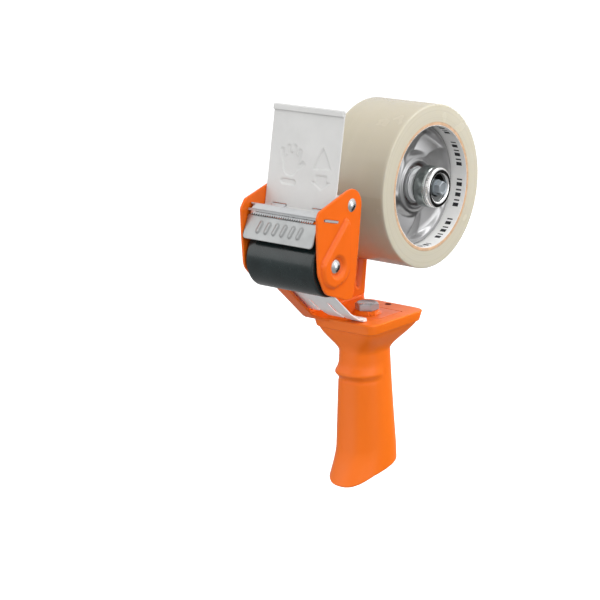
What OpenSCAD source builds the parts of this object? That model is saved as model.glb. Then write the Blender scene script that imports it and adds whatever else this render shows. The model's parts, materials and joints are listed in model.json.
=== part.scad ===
// Hand-held packing-tape dispenser with a roll of tape on its hub.
// Origin at the middle of the grip, +X to the open side with the brake knob,
// -Y to the cutting head, +Z up. Millimetres.

/* [Tape roll] */
// Width of the tape and of its core
tape_w = 48; // [46:0.5:49]
// Outside diameter of the wound film
film_od = 102; // [88:1:104]
// Outside diameter of the cardboard core
core_od = 82; // [80:0.5:84]
// Bore of the cardboard core (a 3 inch core)
core_id = 76.2; // [75.8:0.1:76.6]

/* [Frame] */
// Gap between the two side plates
frame_gap = 53; // [52:0.5:56]
// Thickness of the frame's steel sheet
frame_t = 1.5; // [1.2:0.1:1.8]
// Hub axis behind the middle of the grip
hub_y = 34; // [32:0.5:38]
// Hub axis above the middle of the grip
hub_z = 135; // [133:0.5:140]
// Radius of the frame's round end at the hub
hub_end_r = 18; // [15:0.5:20]

/* [Roller] */
// Outside diameter of the rubber roller
roller_d = 37.2; // [34:0.2:37.6]
// Length of the rubber sleeve
roller_w = 50; // [48:0.5:50.4]
// Roller axle ahead of the middle of the grip
roller_y = -67.9; // [-69:0.1:-66]
// Roller axle above the middle of the grip
roller_z = 103.5; // [102:0.1:104]

/* [Cutting head] */
// Width of the blade guard flap
guard_w = 52; // [48:0.5:52.4]
// Width of the wiper sheet
wiper_w = 52; // [48:0.5:52.2]
// Height of the wiper sheet above its hinge bead
wiper_h = 61; // [50:0.5:64]
// Backward lean of the wiper sheet at rest, degrees
wiper_lean = 9.5; // [6:0.5:12]
// Number of teeth on the cutting blade
blade_teeth = 28; // [20:1:36]
// Slope of the blade bracket, front edge higher, degrees
bracket_slope = 13; // [10:0.5:16]

/* [Handle] */
// Width of the handle's top flange
flange_w = 48; // [46:0.5:50]
// Length of the handle's top flange
flange_l = 57; // [54:0.5:60]
// Height of the flange's top above the middle of the grip
flange_top = 58; // [56:0.5:60]
// Height of the grip's lower end at its middle
grip_end = -40; // [-50:0.5:-36]
// Radius of the hole through the flange
flange_hole_r = 2.2; // [2:0.1:2.5]

/* [Brake] */
// Diameter of the chromed brake knob
knob_d = 26; // [22:0.2:27]
// Diameter of the threaded hub spindle
spindle_d = 10; // [8:1:10]

/* [Hidden] */
$fn = 64;

orange = [0.95, 0.46, 0.14];
zinc = [0.72, 0.73, 0.74];
chrome_grey = [0.8, 0.81, 0.82];

eps = 0.01;
// Further out than any part reaches along X, for cuts right through
past = 60;
plate_in = frame_gap / 2;
plate_out = plate_in + frame_t;
hub = [hub_y, hub_z];
roller = [roller_y, roller_z];
roller_r = roller_d / 2;
tie = [roller_y + 15.1, roller_z + 34.1];

// Roller stack: axle, bush and core radii
axle_r = 3;
run_gap = 0.05;
bush_r = 6;
bush_x = [13, 25];
bush_flange_x = [24.2, 26.2];
roller_core_r = 12;
tie_r = 2.5;
tie_spacer_r = 4.5;

// Outline of the cutting head's side, as [y, z, corner radius]
head_front = [[-88.2, 134.4, 3], [-84.3, 139.7, 4], [-41.7, 151.7, 9.6]];
head_chin = [[-74, 87.2, 12], [-85.6, 99, 10], [-87.3, 117.3, 30]];
// Outline of the right cheek
cheek = [[-85.6, 134.6, 2.5], [-83.6, 138.3, 4], [-41.8, 151.6, 10.2], [-46.4, 110.5, 40], [-51.3, 81.2, 2],
    [-58.5, 81.8, 4], [-77.5, 88.4, 10], [-84.1, 101, 12], [-85.2, 118, 30]];

// Sloping lower edge of the frame plate, from the chin down to the handle
slope_top = [-57.4, 81];
slope_foot = [-31.6, 60];
slope_flange_w = 11;
base_top = flange_top;
// Base plate seen from above, let into the top of the handle
base_outline = [[-plate_out, -29], [-8, -26.5], [4, -24], [14.8, -9], [16, -7], [16, 15], [-14, 15],
    [-plate_out, 31]];
seat_gap = 0.4;
// Round boss that the bolt's head stands on, and the bolt
boss_r = 7.4;
boss_h = 2.2;
boss_draft = 1.4;
bolt_r = 3.98;
bolt_len = 19;
bolt_af = 13;
bolt_head_h = 4.4;
insert_r = 6.5;
insert_len = 18;

// Raised teardrop panel pressed out of the right cheek
tear = [[-57.3, 131.8, 2], [-55.4, 128, 3], [-55.4, 98, 6], [-60.5, 93.2, 5], [-71, 90.4, 7],
    [-80, 94.5, 9], [-82.6, 106.5, 7]];
tear_h = 1.6;
dimple_r = 5.6;

// Blade bracket: its middle line passes through this point of the side view
bracket_mid = [-72.5, 131.15];
bracket_t = 1.3;
bracket_front = -82.2;
bracket_rear = -61;
slot_len = 13.5;
blade_t = 0.6;
blade_w = 47;
tooth_h = 1.5;
clamp_t = 1;
rivet_y = -63.6;
rivet_x = [-8, 8];
rivet_r = 1.2;
wiper_hinge = [-67, 133.2];
bead_r = 1.3;
wiper_t = 1;
hem = [2.2, 3.2];
knuckle_r = 2.4;
knuckle_x = [10, 19];

// Blade guard flap and the pin that it swings on
guard_top = [-82.4, 130.4];
guard_foot = [-88.1, 116.9];
guard_t = 1;
guard_axis = [-75.5, 126.5];
pin_r = 1.5;
ear_r = 3;
guard_ear_x = 22.8;
bracket_ear_x = 24.8;
ear_t = 1;

// Tape guide plate under the roller
guide_root = [[-50.6, 79.4], [-42.6, 72.59]];
guide_fingers = [[[-22, -11.7], [-42.9, 72.84], [-34.4, 65.6], [-32, 63.8]],
    [[-9.8, 1.9], [-42.9, 72.84], [-34.4, 65.6], [-27, 60.4], [-25.2, 59.4]],
    [[4, 14], [-42.9, 72.84], [-34.4, 65.6], [-25, 60.2], [-18.6, 59.9]]];
guide_x = [-22, 14];
guide_t = 1;
guide_hem = [3, 1.35];

// Hub stack along X
spindle_r = spindle_d / 2 - run_gap;
hub_r = core_id / 2 - 0.7;
hub_t = 1.2;
hub_left = -20;
hub_face = 13;
hub_bush_r = 8;
spindle_end = 29.5;
washer_x = 9.7;
brake_disc_r = 11.5;
spring_r = [8.4, 10.6];
washer_t = 1.2;
thrust_x = 16.2;
thrust_t = 1;
knob_x = thrust_x + thrust_t;
knob_len = 12.8;
nut_af = 16;
nut_h = 5;
liner_t = 0.25;

// Handle sections: neck half sizes, middles along Y, and where each stretch ends
neck = [13.6, 16.8];
neck_y = -1.9;
flange_y = 1.5;
skirt_h = 6.8;
skirt_draft = 1.2;
skirt_step = 2.4;
flare_h = 15.8;
neck_z = flange_top - skirt_h - flare_h;
foot_half_x = 16.3;
foot_tilt = 0.14;
foot_dip = 4.3;
foot_r = 1.6;
bead_z = 22;
bead_out = 2.7;
ring_n = 40;
flange_hole = [-2, 25];

// ---------- shared functions and modules ----------

// Arc that rounds corner b between points a and c
function corner_arc(a, b, c, r, steps = 8) =
    let (
        u = (a - b) / norm(a - b),
        v = (c - b) / norm(c - b),
        half = acos(u * v) / 2,
        middle = b + (u + v) / norm(u + v) * r / sin(half),
        p = b + u * r / tan(half) - middle,
        q = b + v * r / tan(half) - middle,
        from = atan2(p.y, p.x),
        sweep = (atan2(q.y, q.x) - from + 540) % 360 - 180
    )
    [for (i = [0 : steps]) middle + r * [cos(from + sweep * i / steps), sin(from + sweep * i / steps)]];

function flat2(p) = [p[0], p[1]];

// Closed outline from corners [y, z, radius]; a radius of 0 keeps the corner sharp
function rounded(pts) =
    let (n = len(pts))
    [for (i = [0 : n - 1])
        let (a = flat2(pts[(i + n - 1) % n]), b = flat2(pts[i]), c = flat2(pts[(i + 1) % n]))
        each (pts[i][2] > 0 ? corner_arc(a, b, c, pts[i][2]) : [b])];

// Points along a circle, as sharp corners
function arc_points(centre, r, from, to, steps = 12) =
    [for (i = [0 : steps])
        let (a = from + (to - from) * i / steps)
        [centre.x + r * cos(a), centre.y + r * sin(a), 0]];

// Unit normal of a polyline at point i, lengthened so that the sheet keeps its thickness
function miter(path, i) =
    let (
        n = len(path),
        a = path[max(i, 1)] - path[max(i, 1) - 1],
        b = path[min(i + 1, n - 1)] - path[min(i + 1, n - 1) - 1],
        na = [-a.y, a.x] / norm(a),
        nb = [-b.y, b.x] / norm(b),
        m = (na + nb) / norm(na + nb)
    )
    m / (m * na);

// Outline of a sheet of thickness t that follows a polyline
function sheet(path, t) =
    concat([for (i = [0 : len(path) - 1]) path[i] + miter(path, i) * t / 2],
        [for (i = [len(path) - 1 : -1 : 0]) path[i] - miter(path, i) * t / 2]);

// Height of the bracket's middle plane at a given y
function bracket_z(y) = bracket_mid.y - (y - bracket_mid.x) * tan(bracket_slope);

// Point above the bracket's middle plane by a distance along its normal
function on_bracket(y, lift) = [y, bracket_z(y) + lift / cos(bracket_slope)];

// Side-view outline stretched along X from x0 to x1
module along_x(x0, x1) {
    translate([x0, 0, 0]) rotate([90, 0, 90]) linear_extrude(x1 - x0) children();
}

// Cylinder along X through a side-view point
module rod_x(at, r, x0, x1) {
    translate([x0, at.x, at.y]) rotate([0, 90, 0]) cylinder(r = r, h = x1 - x0);
}

// Solid of revolution about the X axis through a side-view point, outline as [radius, x]
module turned_x(at, outline) {
    translate([0, at.x, at.y]) rotate([0, 90, 0]) rotate_extrude() polygon(outline);
}

// Washer or tube along X
module tube_x(at, r_in, r_out, x0, x1) {
    difference() {
        rod_x(at, r_out, x0, x1);
        rod_x(at, r_in, x0 - 1, x1 + 1);
    }
}

// Domed rivet head on a face at x, pointing along side (+1 or -1)
module rivet_head(at, r, h, x, side) {
    ball = (r * r + h * h) / (2 * h);
    intersection() {
        translate([x + side * (h - ball), at.x, at.y]) sphere(r = ball);
        rod_x(at, r, min(x, x + side * h), max(x, x + side * h));
    }
}

// ---------- handle ----------

// One handle ring: height, half sizes [x, y], centre y, squareness, how far the foot's slant
// and the dip of its nose have set in (0 to 1), and the finger bead's swell
function handle_ring(z, half, cy, square, slant = 0, swell = 0) =
    [for (i = [0 : ring_n - 1])
        let (
            a = 360 * i / ring_n,
            c = cos(a),
            s = sin(a),
            bulge = 1 + swell * sqrt(max(0, -s)) / half.y,
            x = half.x * sign(c) * pow(abs(c), 2 / square) * bulge,
            y = half.y * sign(s) * pow(abs(s), 2 / square) * bulge + cy,
            dip = foot_dip * pow(max(0, (-y - 10) / 17), 1.5)
        )
        [x, y, z + slant * (foot_tilt * y - dip)]];

// Flare between the neck (s = 1) and the flange (s = 0)
function flare_ring(s) =
    let (
        k = pow(1 - s, 1.6) / 2 + pow(cos(90 * s), 2) / 2,
        half = neck + ([flange_w, flange_l] / 2 - skirt_step * [1, 1] - neck) * k,
        z = flange_top - skirt_h - 0.4 - s * flare_h
    )
    handle_ring(z, half, neck_y + (flange_y - neck_y) * k, 2.5 + 6 * k);

// Front and rear of the grip, s from 0 at the neck to 1 at the foot
function grip_front(s) = neck_y - neck.y - 1.4 * s - 7 * pow(max(0, (s - 0.8) / 0.2), 1.7);
function grip_rear(s) = neck_y + neck.y + 7.3 * pow(s, 1.2);
function grip_half(s) = [neck.x + (foot_half_x - neck.x) * s, (grip_rear(s) - grip_front(s)) / 2];
function grip_middle(s) = (grip_rear(s) + grip_front(s)) / 2;

// Grip from the neck (s = 0) to the foot (s = 1)
function grip_ring(s) =
    let (
        z = neck_z + (grip_end - neck_z) * s,
        d = (z - bead_z) / 3.1
    )
    handle_ring(z, grip_half(s), grip_middle(s), 2.5, pow(s, 3), bead_out * exp(-d * d));

// Closing rings of the foot, s from 0 to 1 round its lower edge
function foot_ring(s) =
    handle_ring(grip_end - foot_r * sin(90 * s), grip_half(1) - foot_r * (1 - cos(90 * s)) * [1, 1],
        grip_middle(1), 2.5, 1);

function handle_rings() =
    let (half = [flange_w, flange_l] / 2)
    concat(
        [handle_ring(flange_top, half - [0.8, 0.8], flange_y, 9),
            handle_ring(flange_top - 0.8, half, flange_y, 9),
            handle_ring(flange_top - skirt_h, half - skirt_draft * [1, 1], flange_y, 9)],
        [for (s = [0 : 0.1 : 0.95]) flare_ring(s)],
        [for (s = [0 : 0.04 : 1]) grip_ring(s)],
        [for (s = [0.5, 1]) foot_ring(s)]);

module handle_body() {
    rings = handle_rings();
    n = len(rings);
    polyhedron(
        points = [for (ring = rings) each ring],
        faces = concat(
            [[for (i = [ring_n - 1 : -1 : 0]) i]],
            [for (k = [0 : n - 2], i = [0 : ring_n - 1])
                let (j = (i + 1) % ring_n, a = k * ring_n, b = a + ring_n)
                each [[a + i, a + j, b + i], [a + j, b + j, b + i]]],
            [[for (i = [0 : ring_n - 1]) (n - 1) * ring_n + i]]));
}

module handle() {
    color(orange) difference() {
        handle_body();
        translate([0, 0, base_top - frame_t - 0.05]) linear_extrude(5)
            offset(delta = seat_gap) polygon(base_outline);
        translate([0, 0, base_top - frame_t - insert_len - 0.5]) cylinder(r = insert_r, h = insert_len + 1);
        translate([flange_hole.x, flange_hole.y, 0]) cylinder(r = flange_hole_r, h = flange_top + 1);
    }
}

module handle_insert() {
    color("goldenrod") translate([0, 0, base_top - frame_t - insert_len - 0.2]) difference() {
        cylinder(r = insert_r, h = insert_len);
        translate([0, 0, -1]) cylinder(r = bolt_r + 0.04, h = insert_len + 2);
    }
}

module handle_bolt() {
    ball = 13.4;
    color(zinc) translate([0, 0, base_top + boss_h]) {
        intersection() {
            cylinder(r = bolt_af / sqrt(3), h = bolt_head_h, $fn = 6);
            translate([0, 0, bolt_head_h + 2.5 - ball]) sphere(r = ball);
        }
        translate([0, 0, -bolt_len]) cylinder(r = bolt_r, h = bolt_len + eps);
    }
}

// ---------- frame ----------

module frame_side() {
    arm = [[-38.5, 131, 10]];
    rear = [[36.2, 88, 40], [33, base_top - frame_t, 2]];
    foot = [[slope_foot.x - 1, base_top - frame_t, 2], [slope_foot.x, slope_foot.y, 0],
        [slope_top.x, slope_top.y, 0]];
    polygon(rounded(concat(head_front, arm, arc_points(hub, hub_end_r, 110, -10), rear, foot,
        head_chin)));
}

module frame_plate() {
    slope = slope_foot - slope_top;
    inward = [-slope.y, slope.x] / norm(slope) * frame_t;
    color(orange) difference() {
        union() {
            along_x(-plate_out, -plate_in) frame_side();
            along_x(-plate_in - eps, -plate_in + slope_flange_w)
                polygon([slope_top, slope_foot, slope_foot + inward, slope_top + inward]);
            along_x(-plate_in - eps, -plate_in + slope_flange_w)
                polygon([slope_foot, [-28.4, base_top - frame_t], [-24, base_top - frame_t],
                    [-24, base_top], slope_foot + inward]);
            translate([0, 0, base_top - frame_t]) linear_extrude(frame_t) polygon(base_outline);
            translate([0, 0, base_top - eps]) cylinder(r1 = boss_r + boss_draft, r2 = boss_r, h = boss_h + eps);
        }
        translate([0, 0, base_top - 5]) cylinder(r = 4.5, h = 10);
        rod_x(tie, tie_r, -plate_out - 1, -plate_in + 1);
        rod_x(roller, axle_r, -plate_out - 1, -plate_in + 1);
        rod_x(hub, spindle_r, -plate_out - 1, -plate_in + 1);
        cheek_slot(-1);
    }
}

// Slot that a bracket tab passes through
module cheek_slot(side) {
    translate([side * (plate_in + frame_t / 2), bracket_mid.x, bracket_mid.y])
        rotate([-bracket_slope, 0, 0]) cube([frame_t + 2, slot_len, bracket_t + 0.2], center = true);
}

module right_cheek() {
    color(orange) difference() {
        union() {
            along_x(plate_in, plate_out) polygon(rounded(cheek));
            along_x(plate_out - eps, plate_out + tear_h) polygon(rounded(tear));
        }
        translate([plate_out, roller.x, roller.y]) rotate([0, 90, 0])
            cylinder(r1 = dimple_r, r2 = dimple_r + 1.6, h = tear_h + eps);
        rod_x(tie, tie_r, plate_in - 1, plate_out + 1);
        rod_x(roller, axle_r, plate_in - 1, plate_out + 2);
        cheek_slot(1);
    }
}

module tie_rod() {
    color(zinc) {
        rod_x(tie, tie_r, -plate_out, plate_out);
        rivet_head(tie, 4, 1.6, plate_out, 1);
        rivet_head(tie, 4, 1.6, -plate_out, -1);
    }
}

module tie_spacer() {
    color(zinc) tube_x(tie, tie_r, tie_spacer_r, -plate_in, plate_in);
}

// ---------- roller ----------

module roller_axle() {
    color(zinc) {
        rod_x(roller, axle_r, -plate_out, plate_out);
        rivet_head(roller, 4.4, 1.8, plate_out, 1);
        rivet_head(roller, 4.4, 1.8, -plate_out, -1);
    }
}

module roller_core() {
    color("dimgray") tube_x(roller, bush_r, roller_core_r, -roller_w / 2 + 1, roller_w / 2 - 1);
}

module roller_sleeve() {
    color([0.1, 0.13, 0.13]) tube_x(roller, roller_core_r, roller_r, -roller_w / 2, roller_w / 2);
}

// Rod on the roller's axis, the same distance out on the given side
module bush_part(span, r, side) {
    rod_x(roller, r, min(side * span), max(side * span));
}

module roller_bushes() {
    color("ivory") for (side = [-1, 1]) difference() {
        union() {
            bush_part(bush_x, bush_r, side);
            bush_part(bush_flange_x, bush_r + 2, side);
        }
        rod_x(roller, axle_r + run_gap, -past, past);
    }
}

// ---------- cutting head ----------

module blade_bracket() {
    ends = [on_bracket(bracket_front, 0), on_bracket(bracket_rear, 0)];
    tabs = [on_bracket(bracket_mid.x - slot_len * 0.46, 0), on_bracket(bracket_mid.x + slot_len * 0.46, 0)];
    ear = rounded(concat([[-79.4, bracket_z(-79.4), 0], [-70.4, bracket_z(-70.4), 0]],
        arc_points(guard_axis, ear_r, 20, -200)));
    color(zinc) difference() {
        union() {
            along_x(-plate_in + 0.2, plate_in - 0.2) polygon(sheet(ends, bracket_t));
            along_x(-plate_out - 0.3, plate_out + 0.3) polygon(sheet(tabs, bracket_t));
            along_x(bracket_ear_x, bracket_ear_x + ear_t) polygon(ear);
            along_x(-bracket_ear_x - ear_t, -bracket_ear_x) polygon(ear);
        }
        rod_x(guard_axis, pin_r, -past, past);
        for (x = rivet_x) rivet_hole(x);
    }
}

// Hole for a clamp rivet, square to the bracket
module rivet_hole(x) {
    translate([x, rivet_y, bracket_z(rivet_y)]) rotate([-bracket_slope, 0, 0])
        translate([0, 0, -4]) cylinder(r = rivet_r, h = 8);
}

module wiper_clamp() {
    foot = (bracket_t + clamp_t) / 2;
    path = [[-84.2, 134.7], [-79.7, 136.6], [-78.3, 136.2], on_bracket(-77.2, foot),
        on_bracket(bracket_rear + 0.6, foot)];
    color(zinc) difference() {
        union() {
            along_x(-plate_in + 0.3, plate_in - 0.3) polygon(sheet(path, clamp_t));
            for (side = [-1, 1])
                rod_x(wiper_hinge, knuckle_r, min(side * knuckle_x), max(side * knuckle_x));
        }
        rod_x(wiper_hinge, bead_r + 0.08, -past, past);
        for (x = rivet_x) rivet_hole(x);
        along_x(-40, 40) polygon(sheet([on_bracket(-90, 0), on_bracket(-50, 0)], bracket_t));
    }
}

module clamp_rivets() {
    top = bracket_t / 2 + clamp_t;
    low = -bracket_t / 2 - blade_t;
    head = [2.1, 1.5, 0.8];
    color(chrome_grey) for (x = rivet_x)
        translate([x, rivet_y, bracket_z(rivet_y)]) rotate([-bracket_slope, 0, 0]) {
            translate([0, 0, low - head[2] / 2]) cylinder(r = rivet_r, h = top - low + head[2]);
            translate([0, 0, top]) cylinder(r1 = head[0], r2 = head[1], h = head[2]);
            translate([0, 0, low - head[2]]) cylinder(r1 = head[1], r2 = head[0], h = head[2]);
        }
}

module blade() {
    lift = -(bracket_t + blade_t) / 2;
    pitch = blade_w / blade_teeth;
    bend = on_bracket(-82.6, lift);
    tip = bend + [-1.5, -1.8];
    dive = atan2(bend.y - tip.y, bend.x - tip.x);
    color(chrome_grey) difference() {
        along_x(-blade_w / 2, blade_w / 2)
            polygon(sheet([tip, bend, on_bracket(bracket_rear + 1, lift)], blade_t));
        for (i = [0 : blade_teeth])
            translate([-blade_w / 2 + i * pitch, tip.x, tip.y]) rotate([dive, 0, 0])
                linear_extrude(4, center = true)
                    polygon([[0, tooth_h], [-pitch, -tooth_h], [pitch, -tooth_h]]);
        for (x = rivet_x) rivet_hole(x);
    }
}

// Point on the guard flap's middle plane, s from 0 at its foot to 1 at its top
function on_guard(s) = guard_foot + s * (guard_top - guard_foot);

module blade_guard() {
    ear = rounded(concat([[on_guard(0.97).x, on_guard(0.97).y, 0]],
        arc_points(guard_axis, ear_r, 90, -90), [[on_guard(0.45).x, on_guard(0.45).y, 0]]));
    color(zinc) difference() {
        union() {
            along_x(-guard_w / 2, guard_w / 2) polygon(sheet([guard_foot, guard_top], guard_t));
            along_x(guard_ear_x, guard_ear_x + ear_t) polygon(ear);
            along_x(-guard_ear_x - ear_t, -guard_ear_x) polygon(ear);
        }
        rod_x(guard_axis, pin_r + run_gap, -past, past);
    }
}

module guard_pin() {
    color(chrome_grey) rod_x(guard_axis, pin_r, -bracket_ear_x - ear_t - 0.4, bracket_ear_x + ear_t + 0.4);
}

module guard_spring() {
    color(chrome_grey) {
        tube_x(guard_axis, pin_r + 0.3, pin_r + 1.1, -6, 6);
        along_x(-6, -5.2) polygon(sheet([guard_axis + [-1.5, 1.8], [-80.8, 127.4]], 0.8));
        along_x(5.2, 6) polygon(sheet([guard_axis + [1.5, 1.8], [-71.5, 128.7]], 0.8));
    }
}

module wiper() {
    color("gainsboro") difference() {
        union() {
            rod_x(wiper_hinge, bead_r, -wiper_w / 2, wiper_w / 2);
            translate([0, wiper_hinge.x, wiper_hinge.y]) rotate([-wiper_lean, 0, 0]) {
                translate([-wiper_w / 2, -wiper_t / 2, 0]) cube([wiper_w, wiper_t, wiper_h]);
                translate([-wiper_w / 2, wiper_t / 2 - hem.x, wiper_h - hem.y]) cube([wiper_w, hem.x, hem.y]);
            }
        }
        for (side = [-1, 1])
            difference() {
                middle = side * (knuckle_x[0] + knuckle_x[1]) / 2;
                rod_x(wiper_hinge, knuckle_r + 0.7, middle - 5, middle + 5);
                rod_x(wiper_hinge, bead_r, -past, past);
            }
    }
}

// Three fingers on one sheet; the right one lies on the base plate and ends in a thick hem
module guide_plate() {
    color(zinc) {
        along_x(guide_x[0], guide_x[1]) polygon(sheet(guide_root, guide_t));
        for (finger = guide_fingers) {
            path = [for (i = [1 : len(finger) - 1]) finger[i]];
            along_x(finger[0][0], finger[0][1]) polygon(sheet(path, guide_t));
        }
        sides = guide_fingers[2][0];
        end = guide_fingers[2][len(guide_fingers[2]) - 1];
        translate([sides[0], end.x - guide_hem.x, end.y - guide_t / 2 - guide_hem.y + eps])
            cube([sides[1] - sides[0], guide_hem.x, guide_hem.y]);
    }
}

// ---------- hub and brake ----------

module hub_spindle() {
    color(zinc) {
        rod_x(hub, spindle_r, -plate_out - nut_h - 1, spindle_end);
        rivet_head(hub, spindle_r - eps, 3, spindle_end, 1);
    }
}

module spindle_nuts() {
    color(zinc) for (x = [-plate_out - nut_h, -plate_in]) difference() {
        translate([x, hub.x, hub.y]) rotate([0, 90, 0]) cylinder(r = nut_af / sqrt(3), h = nut_h, $fn = 6);
        rod_x(hub, spindle_r, -past, 0);
    }
}

module hub_cup() {
    in = hub_r - hub_t;
    color(zinc) turned_x(hub, [[in, hub_left], [hub_r, hub_left], [hub_r, hub_face - 1],
        [hub_r - 0.8, hub_face], [hub_r - 2.5, hub_face], [21, hub_face - 3], [18.2, hub_face],
        [14, hub_face], [12.4, washer_x - 0.1], [hub_bush_r, washer_x - 0.1],
        [hub_bush_r, washer_x - 0.1 - hub_t], [13.1, washer_x - 0.1 - hub_t],
        [14.8, hub_face - hub_t], [17.5, hub_face - hub_t], [20.4, hub_face - 3 - hub_t],
        [in, hub_face - hub_t - 0.4]]);
}

module hub_back_disc() {
    color(zinc) tube_x(hub, hub_bush_r, hub_r - hub_t, hub_left, hub_left + hub_t);
}

module hub_bush() {
    color("ivory") tube_x(hub, spindle_r + run_gap, hub_bush_r, hub_left - 1, washer_x - 0.1);
}

module friction_washer() {
    color("firebrick")
        tube_x(hub, spindle_r + 0.2, brake_disc_r - 0.5, washer_x - 0.1, washer_x + washer_t - 0.1);
}

module brake_washer() {
    color(zinc) tube_x(hub, spindle_r, brake_disc_r, washer_x + washer_t, washer_x + 2 * washer_t);
}

module brake_spring() {
    color(chrome_grey) tube_x(hub, spring_r[0], spring_r[1], washer_x + 2 * washer_t, thrust_x);
}

module thrust_washer() {
    color(zinc) tube_x(hub, spindle_r + run_gap, spring_r[1] + 0.4, thrust_x, thrust_x + thrust_t);
}

module brake_knob() {
    r = knob_d / 2;
    bore = spindle_r + run_gap;
    x0 = knob_x + run_gap;
    x1 = knob_x + knob_len;
    color(chrome_grey) turned_x(hub, [[bore, x0], [9, x0], [9, x0 + 1], [r - 0.8, x0 + 1], [r, x0 + 1.8],
        [r, x1 - 6], [r - 0.8, x1 - 2], [r - 1.6, x1 - 0.6], [r - 3, x1], [r - 4.4, x1], [r - 5, x1 - 1.2],
        [bore, x1 - 2.4]]);
}

// ---------- tape roll ----------

module tape_core() {
    color("tan") tube_x(hub, core_id / 2, core_od / 2, -tape_w / 2, tape_w / 2);
}

module core_liner() {
    color("white") tube_x(hub, core_id / 2 - liner_t, core_id / 2, -tape_w / 2 + 0.2, tape_w / 2 - 0.2);
}

module tape_film() {
    color([0.86, 0.82, 0.72]) tube_x(hub, core_od / 2, film_od / 2, -tape_w / 2, tape_w / 2);
}

handle();
handle_insert();
handle_bolt();
frame_plate();
right_cheek();
tie_rod();
tie_spacer();
roller_axle();
roller_core();
roller_sleeve();
roller_bushes();
blade_bracket();
wiper_clamp();
clamp_rivets();
blade();
blade_guard();
guard_pin();
guard_spring();
wiper();
guide_plate();
hub_spindle();
spindle_nuts();
hub_cup();
hub_back_disc();
hub_bush();
friction_washer();
brake_washer();
brake_spring();
thrust_washer();
brake_knob();
tape_core();
core_liner();
tape_film();
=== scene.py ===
"""Looks of the hand-held packing-tape dispenser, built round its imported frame.

Sizes are in millimetres in the row frame and become metres when a mesh is made. The materials' bump depths
and the stage, with its lights and camera, are in metres.
"""

import json
import math

import bmesh
import bpy
import numpy as np
from mathutils import Matrix, Vector
from mathutils.geometry import delaunay_2d_cdt


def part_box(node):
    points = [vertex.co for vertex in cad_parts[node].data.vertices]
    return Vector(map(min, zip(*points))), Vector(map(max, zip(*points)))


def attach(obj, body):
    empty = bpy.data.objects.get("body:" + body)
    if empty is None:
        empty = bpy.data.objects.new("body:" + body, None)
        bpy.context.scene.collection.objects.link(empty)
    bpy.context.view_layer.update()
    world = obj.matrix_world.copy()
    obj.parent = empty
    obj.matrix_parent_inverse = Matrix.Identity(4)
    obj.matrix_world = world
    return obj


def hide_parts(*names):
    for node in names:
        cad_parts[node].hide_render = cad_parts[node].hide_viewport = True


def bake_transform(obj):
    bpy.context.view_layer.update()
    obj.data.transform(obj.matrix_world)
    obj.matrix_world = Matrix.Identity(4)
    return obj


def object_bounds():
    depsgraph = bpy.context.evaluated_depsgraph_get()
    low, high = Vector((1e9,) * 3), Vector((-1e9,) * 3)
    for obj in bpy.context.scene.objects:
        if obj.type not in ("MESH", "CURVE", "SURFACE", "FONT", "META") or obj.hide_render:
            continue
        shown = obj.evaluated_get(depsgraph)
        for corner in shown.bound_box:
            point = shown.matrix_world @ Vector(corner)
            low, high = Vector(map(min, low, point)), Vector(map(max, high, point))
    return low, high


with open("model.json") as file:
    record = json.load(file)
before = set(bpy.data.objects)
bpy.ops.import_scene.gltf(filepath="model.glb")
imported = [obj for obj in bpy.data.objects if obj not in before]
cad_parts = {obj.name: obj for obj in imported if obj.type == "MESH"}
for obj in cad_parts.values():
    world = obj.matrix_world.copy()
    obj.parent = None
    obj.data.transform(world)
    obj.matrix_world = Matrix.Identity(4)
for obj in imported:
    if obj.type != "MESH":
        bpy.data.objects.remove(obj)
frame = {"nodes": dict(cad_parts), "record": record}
cad_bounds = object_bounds()
MM = 0.001


# ---------- places and sizes, from the frame ----------


def node_box(node):
    """Lowest and highest corner of a CAD node, in millimetres."""
    low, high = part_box(node)
    return np.array(low) / MM, np.array(high) / MM


def joint_pos(name):
    """Side-view point [y, z] of a hinge, in millimetres."""
    joint = next(j for j in frame["record"]["behaviour"]["joints"] if j["name"] == name)
    return np.array(joint["pos_m"][1:]) / MM


HUB = joint_pos("hub_spin")
ROLLER = joint_pos("roller_spin")
GUARD_AXIS = joint_pos("guard_swing")
WIPER_HINGE = joint_pos("wiper_flex")
TIE = node_box("tie_rod")[0][1:] / 2 + node_box("tie_rod")[1][1:] / 2
HANDLE_LOW, HANDLE_HIGH = node_box("handle")
FLANGE_TOP = HANDLE_HIGH[2]

SHEET_T = 1.5
# Small hole in the rear of the flange
FLANGE_HOLE = (-2, 25)
FLANGE_HOLE_R = 2.2
BOLT_HOLE_R = 4.4
# Inner face and middle of the side plates, from the middle plane
PLATE_IN = node_box("tie_spacer")[1][0]
PLATE_MID = PLATE_IN + SHEET_T / 2


# ---------- outlines and paths ----------


def corner_arc(a, b, c, radius, steps):
    """Arc of a radius that rounds corner b between points a and c."""
    u = (a - b) / np.linalg.norm(a - b)
    v = (c - b) / np.linalg.norm(c - b)
    if u @ v < -0.9999:
        return [b]
    half = math.acos(np.clip(u @ v, -1, 1)) / 2
    middle = b + (u + v) / np.linalg.norm(u + v) * radius / math.sin(half)
    p = b + u * radius / math.tan(half) - middle
    q = b + v * radius / math.tan(half) - middle
    start = math.atan2(p[1], p[0])
    sweep = (math.atan2(q[1], q[0]) - start + math.pi) % (2 * math.pi) - math.pi
    turn = start + sweep * np.linspace(0, 1, steps + 1)
    return [middle + radius * np.array([math.cos(t), math.sin(t)]) for t in turn]


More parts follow.
